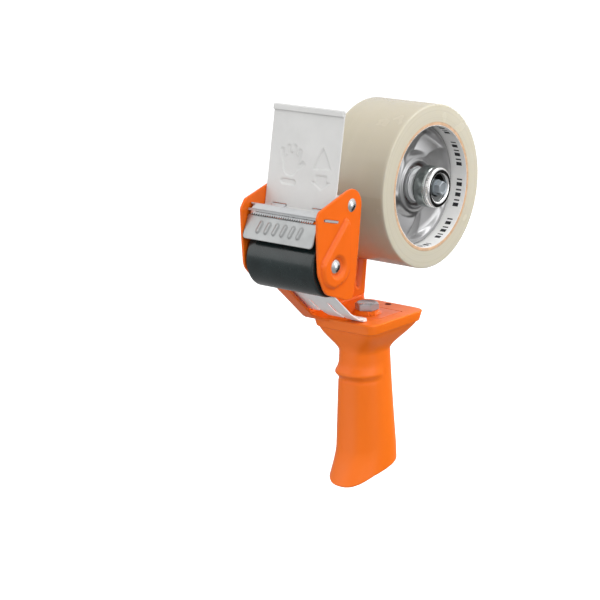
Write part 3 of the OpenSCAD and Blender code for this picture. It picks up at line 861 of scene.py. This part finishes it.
NECK = np.array([13.6, 16.8])
NECK_Y = -1.9
FLANGE_HALF = np.array([(HANDLE_HIGH[0] - HANDLE_LOW[0]) / 2, 28.5])
FLANGE_Y = 1.5
FLANGE_SQUARE = 9
TOP_R = 0.8
SKIRT_H = 6.8
SKIRT_DRAFT = 1.2
SKIRT_R = 0.7
FLARE_H = 15.8
FLARE_IN = 1.2
FLARE_TOP = FLANGE_TOP - SKIRT_H - 0.4
NECK_Z = FLARE_TOP - FLARE_H
GRIP_SQUARE = 2.5
# How far the grip's rear and front, and its toe at the front, run out towards the foot
REAR_OUT = 7.3
FRONT_OUT = 1.4
TOE_OUT = 7
GRIP_END = -40.0
FOOT_HALF_X = 16.3
FOOT_TILT = 0.14
# The foot's front end hangs lower: by how much, from where on, and over what length
FOOT_DIP, DIP_START, DIP_SPAN = 4.2, 10, 17
FOOT_R = 1.6
BEAD_Z = 22.0
BEAD_OUT = 2.7
BEAD_ABOVE, BEAD_BELOW = 3.4, 2.2
CREASE_Z = BEAD_Z - 4.2
CREASE_HALF, CREASE_IN = 1.3, 0.5
RING_SIDES = 128
# Outline let into the flange for the base plate
RECESS = [(-40, -28.6), (-8, -26.9), (4.2, -24.4), (15.2, -9.2), (16.4, -7), (16.4, 15.4), (-13.7, 15.4),
    (-29, 34)]


def handle_ring(z, half, centre_y, square, slant=0.0, swell=0.0):
    """One ring of the handle: a rounded oblong, with the foot's slant and the finger bead's swell."""
    turn = np.linspace(0, 2 * math.pi, RING_SIDES, endpoint=False)
    c, s = np.cos(turn), np.sin(turn)
    bulge = 1 + swell * np.sqrt(np.maximum(0, -s)) / half[1]
    x = half[0] * np.sign(c) * np.abs(c) ** (2 / square) * bulge
    y = half[1] * np.sign(s) * np.abs(s) ** (2 / square) * bulge + centre_y
    dip = FOOT_DIP * (np.maximum(0, -y - DIP_START) / DIP_SPAN) ** 1.5
    return np.stack([x, y, z + slant * (FOOT_TILT * y - dip)], 1)


def bead(z):
    """Swell of the finger bead: a round ridge with a crease under it."""
    rise = (z - BEAD_Z) / (BEAD_ABOVE if z > BEAD_Z else BEAD_BELOW)
    crease = (z - CREASE_Z) / CREASE_HALF
    return BEAD_OUT * math.exp(-rise * rise) - CREASE_IN * math.exp(-crease * crease)


def handle_rings():
    """Rings from the flange's top down to the foot."""
    rings = []
    quarter = np.linspace(0, math.pi / 2, 6)
    skirt_half = FLANGE_HALF - SKIRT_DRAFT
    for turn in quarter:
        half = FLANGE_HALF - TOP_R * (1 - math.sin(turn))
        rings.append(handle_ring(FLANGE_TOP - TOP_R * (1 - math.cos(turn)), half, FLANGE_Y, FLANGE_SQUARE))
    for turn in quarter:
        half = skirt_half - SKIRT_R * (1 - math.cos(turn))
        z = FLANGE_TOP - SKIRT_H + SKIRT_R * (1 - math.sin(turn))
        rings.append(handle_ring(z, half, FLANGE_Y, FLANGE_SQUARE))
    for s in np.linspace(0, 0.98, 34):
        k = (1 - s) ** 1.6 / 2 + math.cos(s * math.pi / 2) ** 2 / 2
        half = NECK + (skirt_half - FLARE_IN - NECK) * k
        centre = NECK_Y + (FLANGE_Y - NECK_Y) * k
        rings.append(handle_ring(FLARE_TOP - s * FLARE_H, half, centre, GRIP_SQUARE + 6 * k))
    for s in np.linspace(0, 1, 120):
        z = NECK_Z + (GRIP_END - NECK_Z) * s
        rear = NECK_Y + NECK[1] + REAR_OUT * s**1.2
        front = NECK_Y - NECK[1] - FRONT_OUT * s - TOE_OUT * max(0, (s - 0.8) / 0.2) ** 1.7
        half = np.array([NECK[0] + (FOOT_HALF_X - NECK[0]) * s, (rear - front) / 2])
        centre = (rear + front) / 2
        rings.append(handle_ring(z, half, centre, GRIP_SQUARE, s**3, bead(z)))
    for turn in np.linspace(0.15, 1, 8) * math.pi / 2:
        edge = FOOT_R * (1 - math.cos(turn))
        rings.append(handle_ring(GRIP_END - FOOT_R * math.sin(turn), half - edge, centre, GRIP_SQUARE, 1.0))
    return rings


def cut_out(piece, outline, low, high):
    """Cuts an upright hole of an outline out of a piece."""
    tool = lofted(Shell(), [[(x, y, z) for x, y in outline] for z in (low, high)]).build("cutter")
    cut = piece.modifiers.new("cut", "BOOLEAN")
    cut.operation = "DIFFERENCE"
    cut.solver = "EXACT"
    cut.object = tool
    graph = bpy.context.evaluated_depsgraph_get()
    result = bpy.data.meshes.new_from_object(piece.evaluated_get(graph))
    piece.modifiers.clear()
    piece.data = result
    bpy.data.objects.remove(tool)


def handle():
    """Moulded grip with the recess for the base plate and the two holes in its flange."""
    sharp = 28
    grip = lofted(Shell(), handle_rings()).build("grip", sharp)
    above = FLANGE_TOP + 5
    cut_out(grip, RECESS, FLANGE_TOP - SHEET_T - 0.05, above)
    cut_out(grip, circle(FLANGE_HOLE, FLANGE_HOLE_R, 40), FLANGE_TOP - 30, above)
    cut_out(grip, circle((0, 0), BOLT_HOLE_R, 40), FLANGE_TOP - 22, above)
    grip.data.shade_smooth()
    grip.data.set_sharp_from_angle(angle=math.radians(sharp))
    stand_for(grip, "handle", "frame")


handle()


BOLT_HEAD = 4.4
BOLT_SHANK_R = 3.95
BOLT_FLAT = 6.5


def hex_head(shell, place, shank_r, shank, flat, height):
    """Adds a shank with a chamfered hexagon on it whose top is slightly dished.

    place maps (across, across, along) into a point, with along measured from the seat.
    """
    turn = np.linspace(0, 2 * math.pi, 96, endpoint=False)
    level = np.ones(len(turn))
    hexagon = flat / np.cos((turn + math.pi / 6) % (math.pi / 3) - math.pi / 6)
    crown = np.minimum(hexagon, flat - 0.2)
    slope = (hexagon - crown) * math.tan(math.radians(32))
    dish = 0.92 * height
    rows = [(shank_r * level, -shank * level), (shank_r * level, 0 * level),
        (hexagon - 0.05 * flat, 0 * level), (hexagon, 0.06 * height * level),
        (hexagon, height - slope - 0.15), (hexagon - 0.12, height - slope - 0.02), (crown, height * level),
        (0.87 * crown, height - 0.05 * level), (0.75 * crown, dish * level),
        (0.1 * flat * level, dish * level)]
    rings = [[place(r * math.cos(t), r * math.sin(t), z) for r, t, z in zip(radius, turn, along)]
        for radius, along in rows]
    return fanned(shell, rings, [place(0, 0, -shank), place(0, 0, dish)])


def handle_bolt():
    """Hexagon bolt that stands on the base plate's boss."""
    low, high = node_box("handle_bolt")
    seat = high[2] - BOLT_HEAD
    shell = hex_head(Shell(), lambda a, b, z: (a, b, seat + z), BOLT_SHANK_R, seat - low[2], BOLT_FLAT,
        BOLT_HEAD)
    finish_piece(shell, "handle_bolt_hex", 28, "handle_bolt")


handle_bolt()


# ---------- roller ----------


def roller():
    """Rubber sleeve with rounded shoulders, on a plastic tube with a slimmer stub at each end."""
    half = node_box("roller_sleeve")[1][0]
    radius = node_box("roller_sleeve")[1][2] - ROLLER[1]
    bore, stub_r, stub_root_r, tube_r = 6, 9, 9.4, 12
    corners = [(tube_r, -half, 0.2), (radius, -half, 1.1), (radius, half, 1.1), (tube_r, half, 0.2)]
    tyre = revolve(Shell(), ROLLER, rounded(corners, 6), 160)
    finish_piece(tyre, "roller_tyre", 40, "roller_sleeve", "roller")
    end = half - 1
    step = end - 2.5
    corners = [(bore, -end, 0.2), (stub_r, -end, 0.3), (stub_root_r, -step, 0.4), (tube_r, -step, 0),
        (tube_r, step, 0), (stub_root_r, step, 0.4), (stub_r, end, 0.3), (bore, end, 0.2)]
    core = revolve(Shell(), ROLLER, rounded(corners, 6), 96)
    finish_piece(core, "roller_tube", 40, "roller_core", "roller")


roller()


# ---------- cutting head ----------

BRACKET_MID = (-72.5, 131.15)
BRACKET_SLOPE = math.radians(13)


def on_bracket(y, lift=0.0):
    """Side-view point above the bracket's middle plane."""
    z = BRACKET_MID[1] - (y - BRACKET_MID[0]) * math.tan(BRACKET_SLOPE)
    return (y, z + lift / math.cos(BRACKET_SLOPE))


KNUCKLES = (10.0, 20.0)
KNUCKLE_R = 2.4
CLAMP_T = 1.0
# Height of the clamp's middle above the bracket's
CLAMP_LIFT = 1.15


def wiper_clamp():
    """Bright strip over the blade, bent in steps, with two curled knuckles at its rear."""
    path = Path([(-84.2, 134.5, 0), (-79.7, 136.6, 1.4), (-78.2, 136.2, 0.7),
        (*on_bracket(-77.2, CLAMP_LIFT), 0.8), (*on_bracket(-60.6, CLAMP_LIFT), 0)], 10)
    half = PLATE_IN - 0.3
    end = path.length
    outline = rounded([(4 - half, 0, 1), (half, 0, 1), (half, end, 1), (-half, end, 1), (-half, 4.4, 1),
        (4 - half, 4.4, 0.5)])
    shell = pressed(Shell(), outline, bent(path), CLAMP_T, step=0.8, edge=0.22)
    for side in (-1, 1):
        low, high = sorted((side * KNUCKLES[0], side * KNUCKLES[1]))
        corners = [(1.4, low, 0.1), (KNUCKLE_R, low, 0.35), (KNUCKLE_R, high, 0.35), (1.4, high, 0.1)]
        revolve(shell, WIPER_HINGE, rounded(corners, 6), 48)
    finish_piece(shell, "wiper_clamp_strip", 40, "wiper_clamp")


GUARD_TOP = (-82.4, 130.4)
GUARD_FOOT = (-88.1, 116.9)
GUARD_EAR_X = 23.3
GUARD_T = 1.0
# Row of ribs on the guard: how many, first, pitch, lower and upper end, lean, half width, height, wall
GUARD_RIBS = 6
GUARD_RIB_X, GUARD_RIB_PITCH = -15, 6
GUARD_RIB_V = (5.3, 10.3)
GUARD_RIB_LEAN, GUARD_RIB_HALF, GUARD_RIB_H, GUARD_RIB_WALL = 0.8, 1.5, 0.55, 0.8


def blade_guard():
    """Flap with a row of plain pressed ribs, rounded lower corners and two ears on the pin."""
    path = Path([(*GUARD_FOOT, 0), (*GUARD_TOP, 0)])
    half = (node_box("blade_guard")[1][0] - node_box("blade_guard")[0][0]) / 2

    def height(u, v):
        lift = np.zeros_like(u)
        for k in range(GUARD_RIBS):
            x = GUARD_RIB_X + GUARD_RIB_PITCH * k
            ends = [(x - GUARD_RIB_LEAN, GUARD_RIB_V[0]), (x + GUARD_RIB_LEAN, GUARD_RIB_V[1])]
            rib = plateau(segment_distance(u, v, *ends) - GUARD_RIB_HALF, GUARD_RIB_H, GUARD_RIB_WALL)
            lift = np.maximum(lift, rib)
        return lift

    outline = rounded([(-half, 0, 2.2), (half, 0, 2.2), (half, path.length, 0.6), (-half, path.length, 0.6)])
    shell = pressed(Shell(), outline, bent(path), GUARD_T, height=height, step=0.6, edge=0.3)
    y, z = GUARD_AXIS
    ear = rounded([(-82.8, 129.6, 0.4), (y, z + 3, 2.6), (y + 3, z + 1, 2.0), (y + 2, z - 2.8, 1.8),
        (-85.6, 122.8, 0.4)])
    for side in (-1, 1):
        place = facing_x(side * GUARD_EAR_X)
        pressed(shell, ear, place, GUARD_T, holes=[circle(GUARD_AXIS, 1.56, 32)], step=1.2, edge=0.2)
    finish_piece(shell, "blade_guard_flap", 40, "blade_guard", "guard")


WIPER_LEAN = math.radians(9.5)
WIPER_H = 61.0
WIPER_T = 1.0
HEM_H = 3.2
BEAD_R = 1.3
MARK_DEPTH = 0.75
MARK_WALL = 0.8
# Plain embossed shapes on the wiper: bars (start, end, half width) of the hand, and two outlines
HAND = [((-14.4, 15.9), (-6.4, 15.7), 2.0), ((-10.0, 25.0), (-9.8, 27.6), 6.0),
    ((-5.0, 28), (-3.6, 34.4), 1.7), ((-8.2, 29), (-7.6, 36.6), 1.75), ((-11.9, 29), (-12.2, 36.4), 1.75),
    ((-15.0, 28), (-16.6, 34.0), 1.65), ((-5.6, 24.0), (-0.6, 27.2), 1.8)]
TRIANGLE = np.array([(6.4, 25.0), (20.8, 25.4), (13.2, 39.2)])
ARROW = np.array([(9.3, 22.2), (18.2, 22.4), (18.2, 18.6), (21.8, 18.8), (14.2, 13.0), (6.0, 18.2),
    (9.3, 18.4)])


def wiper():
    """Upright sheet with a folded hem and plain embossed shapes, on a bead that the knuckles hold."""
    half = (node_box("wiper")[1][0] - node_box("wiper")[0][0]) / 2
    along = np.array([math.sin(WIPER_LEAN), math.cos(WIPER_LEAN)])
    out = np.array([math.cos(WIPER_LEAN), -math.sin(WIPER_LEAN)])
    top = WIPER_HINGE + along * (WIPER_H - 0.5)
    fold = top - out * 1.2
    path = Path([(*WIPER_HINGE, 0), (*top, 0.55), (*fold, 0.55), (*(fold - along * HEM_H), 0)], 10)

    def height(u, v):
        bars = [segment_distance(u, v, a, b) - r for a, b, r in HAND]
        marks = [loop_distance(u, v, loop) for loop in (TRIANGLE, ARROW)]
        return -plateau(np.min(bars + marks, axis=0), MARK_DEPTH, MARK_WALL)

    notch = KNUCKLE_R + 0.3
    low, high = KNUCKLES[0] - 0.4, KNUCKLES[1] + 0.4
    right = [(low, 0, 0), (low, notch, 0.6), (high, notch, 0.6), (high, 0, 0), (half, 0, 0),
        (half, path.length, 0)]
    left = [(-u, v, r) for u, v, r in reversed(right)]
    outline = rounded(left[1:] + right + left[:1])
    shell = pressed(Shell(), outline, bent(path), WIPER_T, height=height, step=0.55, edge=0.2)
    ends = rounded([(0, -half, 0), (BEAD_R, -half, 0.3), (BEAD_R, half, 0.3), (0, half, 0)])
    rod(shell, WIPER_HINGE, ends, 40)
    finish_piece(shell, "wiper_sheet", 40, "wiper", "wiper")


GUIDE_T = 1.0
GUIDE_HEM_T = 1.4


def guide_plate():
    """Spring sheet under the roller with three fingers; the right one ends in a thick hem."""
    path = Path([(-50.6, 79.4, 0), (-34.4, 65.6, 6), (-26, 60.5, 4), (-18.6, 59.9, 0)])
    left, right = node_box("guide_plate")[0][0], node_box("guide_plate")[1][0]
    root, short, middle, end = 9.5, 24.5, 32.0, path.length
    outline = rounded([(left, 0, 2), (right, 0, 2), (right, end, 0.4), (4, end, 0.4), (4, root, 0.5),
        (1.9, root, 0.5), (1.9, middle, 1), (-9.8, middle, 1), (-9.8, root, 0.5), (-11.7, root, 0.5),
        (-11.7, short, 1), (left, short, 1)])
    shell = pressed(Shell(), outline, bent(path), GUIDE_T, step=1.0, edge=0.25)
    hem = Path([(-22.0, 59.0, 0), (-18.3, 58.8, 0)])
    outline = rounded([(4, 0, 0.4), (right, 0, 0.4), (right, hem.length, 0.4), (4, hem.length, 0.4)])
    pressed(shell, outline, bent(hem), GUIDE_HEM_T, step=1.0, edge=0.45)
    finish_piece(shell, "guide_sheet", 40, "guide_plate")


def guard_spring():
    """Coiled return spring round the guard's pin, with two legs; all of it rides on the frame."""
    turns, per_turn, radius, wire, half = 9, 20, 2.25, 0.38, 6
    turn = np.linspace(0, 2 * math.pi * turns, turns * per_turn + 1)
    coil = helix(np.linspace(-half, half, len(turn)), GUARD_AXIS, radius, math.pi / 2 - turn)
    front = [(-half, -80.8, 127.4), (-half, -77.5, 128.5)]
    rear = [(half, -73.5, 128.4), (half, -71.6, 128.6)]
    finish_piece(tube(Shell(), front + coil + rear, wire), "guard_coil", 60, "guard_spring")


wiper_clamp()
blade_guard()
wiper()
guide_plate()
guard_spring()


# ---------- hub, brake and roll ----------


# Petals: how many, where the first begins, share of one that falls, depth, twist in degrees per millimetre
PETALS = 5
PETAL_START = 60
PETAL_FALL = 0.42
PETAL_DEPTH = 3.7
PETAL_TWIST = 1.6
PETAL_RIM = 2.2
# Hub's face: radii where the flat seat ends, the ring falls off, the petals begin and the rim rises
SEAT_R, RING_FALL_R, PETAL_R, RIM_RISE_R = 12.2, 15, 17.6, 30
# Places along X of the seat, the ring and the face
SEAT_X, RING_X, FACE_X = 9.6, 13.0, 11.8
HUB_WALL = 1.2


def hub():
    """Stamped cup with a ring round its middle and folded petals, and its drum wall."""
    low, high = node_box("hub_cup")
    radius = high[2] - HUB[1]
    left = low[0]

    def petals(r, turn):
        if r < PETAL_R or r > radius - PETAL_RIM:
            return 0.0
        reach = smooth_step((r - PETAL_R) / 4) * smooth_step((radius - PETAL_RIM - r) / 3)
        phase = ((math.degrees(turn) + PETAL_TWIST * (r - PETAL_R) - PETAL_START) * PETALS / 360) % 1
        fold = phase / PETAL_FALL if phase < PETAL_FALL else (1 - phase) / (1 - PETAL_FALL)
        return -PETAL_DEPTH * reach * fold

    def stretch(start, end, count, from_x, to_x, rise_start, rise):
        """Stretch of the face's profile between two radii, with one smooth rise or fall."""
        return [(r, from_x + (to_x - from_x) * smooth_step((r - rise_start) / rise))
            for r in np.linspace(start, end, count)]

    face = [(8.0, SEAT_X), (SEAT_R, SEAT_X)]
    face += stretch(12.6, 14.2, 5, SEAT_X, RING_X, SEAT_R, 1.8)
    face += stretch(RING_FALL_R, 17.4, 6, RING_X, FACE_X, RING_FALL_R, 2.4)
    face += stretch(18, radius - 1.4, 44, FACE_X, FACE_X + 1, RIM_RISE_R, 6)
    rim = [(radius - 1.0, 12.95), (radius - 0.4, 12.7), (radius, 12.0), (radius, left)]
    inner = [(radius - HUB_WALL, left), (radius - HUB_WALL, 11.5)]
    inner += [(r, x - HUB_WALL) for r, x in reversed(face[:-1])]
    shell = revolve(Shell(), HUB, face + rim + inner, 240, petals)
    finish_piece(shell, "hub_pressing", 30, "hub_cup", "hub")


def brake_knob():
    """Chromed knob: waisted body, rounded rim and a dished end round the spindle."""
    low, high = node_box("brake_knob")
    r = high[2] - HUB[1]
    start, end = low[0], high[0]
    bore = 5.0
    profile = rounded([(bore, start, 0.1), (8.9, start, 0.2), (9.0, start + 1, 0.2),
        (r - 0.5, start + 1, 0.5), (r, start + 2.2, 0.8), (r - 0.1, end - 4.6, 2.0),
        (r - 0.7, end - 3.4, 0.6), (r - 0.3, end - 2.4, 0.8), (r - 0.5, end, 1.5), (r - 4.0, end, 1.5),
        (r - 4.6, end - 2.2, 0.8), (r - 7.2, end - 2.7, 0.8), (bore, end - 2.7, 0.1)], 8)
    knob = revolve(Shell(), HUB, profile, 128)
    finish_piece(knob, "knob_body", 40, "brake_knob", "knob")


def brake_spring():
    """Compression spring between the brake washer and the knob's washer, made at one fixed length."""
    low, high = node_box("brake_spring")
    wire = 0.75
    start, end = low[0] + wire, high[0] - wire
    radius = (high[2] - low[2]) / 2 - wire - 0.2
    turns, per_turn = 2.6, 40
    turn = np.linspace(0, 2 * math.pi * turns, int(turns * per_turn) + 1)
    xs = start + (end - start) * smooth_step(np.linspace(0, 1, len(turn)))
    coil = tube(Shell(), helix(xs, HUB, radius, turn), wire, 12).build("brake_coil", 60)
    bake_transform(coil)
    stand_for(coil, "brake_spring")


# How much the core's ring is drawn thinner than the CAD core
CORE_THINNER = 0.9


def sleeve(name, inner_r, outer_r, half, rounding, steps, node):
    """Turned tube of the roll; rounding is that of its inner and of its outer edges."""
    inner, outer = rounding
    corners = [(inner_r, -half, inner), (outer_r, -half, outer), (outer_r, half, outer),
        (inner_r, half, inner)]
    finish_piece(revolve(Shell(), HUB, rounded(corners, 6), steps), name, 40, node, "tape_roll")


def roll():
    """Wound film, its cardboard core and the printed liner."""
    film_r = node_box("tape_film")[1][2] - HUB[1]
    core_r = node_box("tape_core")[1][2] - HUB[1] - CORE_THINNER
    bore_r = node_box("core_liner")[1][2] - HUB[1]
    half = node_box("tape_film")[1][0]
    sleeve("film_roll", core_r, film_r, half, (0, 0.9), 256, "tape_film")
    sleeve("core_tube", bore_r, core_r, half, (0.3, 0.3), 200, "tape_core")
    sleeve("liner_sleeve", bore_r - 0.25, bore_r, half - 0.2, (0, 0), 200, "core_liner")


def hub_spindle():
    """Spindle through the hub, with a small hexagon for a key on its end."""
    low, high = node_box("hub_spindle")
    radius = (high[2] - low[2]) / 2
    tip = 4.2
    seat = high[0] - tip
    shell = hex_head(Shell(), lambda a, b, x: (seat + x, HUB[0] + a, HUB[1] + b), radius, seat - low[0],
        0.78 * radius, tip)
    finish_piece(shell, "spindle_rod", 28, "hub_spindle")


hub()
hub_spindle()
brake_knob()
brake_spring()
roll()


# ---------- floor, light and camera ----------

FLOOR_GAP = 0.06
FLOOR_REACH = 6
# Middle, half width and two directions of the dark card
CARD_PLACE, CARD_REACH = Vector((0.38, 0.52, -0.22)), 0.32
CARD_SIDE, CARD_RISE = Vector((0.85, -0.5, 0.1)), Vector((0.2, 0.3, 0.93))
# Brightness of the room by height of the direction, from straight down (-1) to straight up (1)
SKY = [(-1.0, 0.38), (-0.25, 0.38), (0.05, 0.65), (0.30, 0.90), (1.0, 0.95)]
# Lights: place, target, size, power, and whether metal mirrors them
MIDDLE = (0.0, 0.0, 0.07)
LIGHTS = {
    "left_box": ((-0.8, -1.0, 0.6), MIDDLE, (0.8, 1.0), 2.2, True),
    "right_box": ((1.2, 0.3, 0.30), MIDDLE, (0.5, 1.0), 2.6, True),
    "top_box": ((0.3, 0.5, 1.3), MIDDLE, (0.8, 0.8), 6.0, True),
    "side_fill": ((1.2, -0.5, 0.75), MIDDLE, (1.0, 1.0), 7.4, False),
    "low_fill": ((-0.4, -0.9, -0.5), MIDDLE, (1.0, 1.0), 7.0, False),
    "rear_low": ((0.10, 0.60, 0.21), (0.0, 0.02, 0.06), (0.3, 0.12), 3.6, False),
}
CAMERA_PLACE = (0.73193, -0.98265, 0.37458)
CAMERA_AZIMUTH, CAMERA_ELEVATION = math.radians(38.62), math.radians(14.15)
CAMERA_LENS = 122.3


def stage_card(name, middle, side, rise, finish):
    """Flat card that belongs to the stage: it lights nothing."""
    mesh = bpy.data.meshes.new(name)
    corners = [middle + side * a + rise * b for a, b in ((-1, -1), (1, -1), (1, 1), (-1, 1))]
    mesh.from_pydata([tuple(corner) for corner in corners], [], [(0, 1, 2, 3)])
    card = bpy.data.objects.new(name, mesh)
    bpy.context.scene.collection.objects.link(card)
    card.visible_diffuse = False
    card.visible_transmission = False
    finish.mottle(3, 0.01).set(Specular_IOR_Level=0.0)
    mesh.materials.append(finish.material)
    return card


def floor():
    """Plain pale ground below the handle's foot; no piece mirrors it."""
    middle = Vector((0, 0, cad_bounds[0][2] - FLOOR_GAP))
    pale = Finish("floor_pale", (0.5, 0.5, 0.5), 0.9)
    pale.set(Emission_Color=(1, 1, 1, 1), Emission_Strength=0.72)
    ground = stage_card("floor", middle, Vector((FLOOR_REACH, 0, 0)), Vector((0, FLOOR_REACH, 0)), pale)
    ground.visible_glossy = False


def dark_card():
    """Black card low behind the object that only metal mirrors, for depth in the hub's folds."""
    side, rise = CARD_SIDE.normalized() * CARD_REACH, CARD_RISE.normalized() * CARD_REACH
    card = stage_card("dark_card", CARD_PLACE, side, rise, Finish("card_black", (0.01, 0.01, 0.01), 1.0))
    card.visible_camera = False
    card.visible_shadow = False


def softbox(name, place, target, size, power, mirrored):
    """Rectangular soft light aimed at a point."""
    data = bpy.data.lights.new(name, "AREA")
    data.shape = "RECTANGLE"
    data.size, data.size_y = size
    data.energy = power
    lamp = bpy.data.objects.new(name, data)
    lamp.visible_glossy = mirrored
    lamp.location = place
    aim = Vector(target) - Vector(place)
    lamp.rotation_mode = "QUATERNION"
    lamp.rotation_quaternion = aim.to_track_quat("-Z", "Y")
    bpy.context.scene.collection.objects.link(lamp)


def studio():
    """Room round the object: bright above, grey at eye height, darker below, and white to the camera."""
    world = bpy.data.worlds.new("studio")
    world.use_nodes = True
    tree = world.node_tree
    place = add_node(tree, "ShaderNodeTexCoord").outputs["Generated"]
    rise = add_node(tree, "ShaderNodeSeparateXYZ", {"Vector": place}).outputs["Z"]
    level = add_node(tree, "ShaderNodeMapRange", {"Value": rise, "From Min": -1, "To Min": 0})
    ramp = add_node(tree, "ShaderNodeValToRGB", {"Fac": level.outputs["Result"]})
    while len(ramp.color_ramp.elements) < len(SKY):
        ramp.color_ramp.elements.new(0.5)
    for element, (height, grey) in zip(ramp.color_ramp.elements, SKY):
        element.position = (height + 1) / 2
        element.color = (grey, grey, grey, 1)
    seen = add_node(tree, "ShaderNodeLightPath").outputs["Is Camera Ray"]
    colors = {"Factor": seen, "A": ramp.outputs["Color"], "B": (1, 1, 1, 1)}
    sky = add_node(tree, "ShaderNodeMix", colors, data_type="RGBA").outputs["Result"]
    tree.links.new(sky, tree.nodes["Background"].inputs["Color"])
    tree.nodes["Background"].inputs["Strength"].default_value = 1.0
    bpy.context.scene.world = world


def camera():
    """Camera at the reference angle with a long lens."""
    azimuth, elevation = CAMERA_AZIMUTH, CAMERA_ELEVATION
    back = np.array([math.sin(azimuth) * math.cos(elevation), -math.cos(azimuth) * math.cos(elevation),
        math.sin(elevation)])
    right = np.array([math.cos(azimuth), math.sin(azimuth), 0])
    data = bpy.data.cameras.new("camera")
    data.sensor_width = 36
    data.lens = CAMERA_LENS
    data.clip_start, data.clip_end = 0.05, 50
    lens = bpy.data.objects.new("camera", data)
    lens.matrix_world = Matrix(np.stack([right, np.cross(back, right), back], 1).tolist()).to_4x4()
    lens.location = CAMERA_PLACE
    bpy.context.scene.collection.objects.link(lens)
    bpy.context.scene.camera = lens


floor()
studio()
dark_card()
for light_name, settings in LIGHTS.items():
    softbox(light_name, *settings)
camera()
bpy.context.scene.view_settings.view_transform = "Standard"
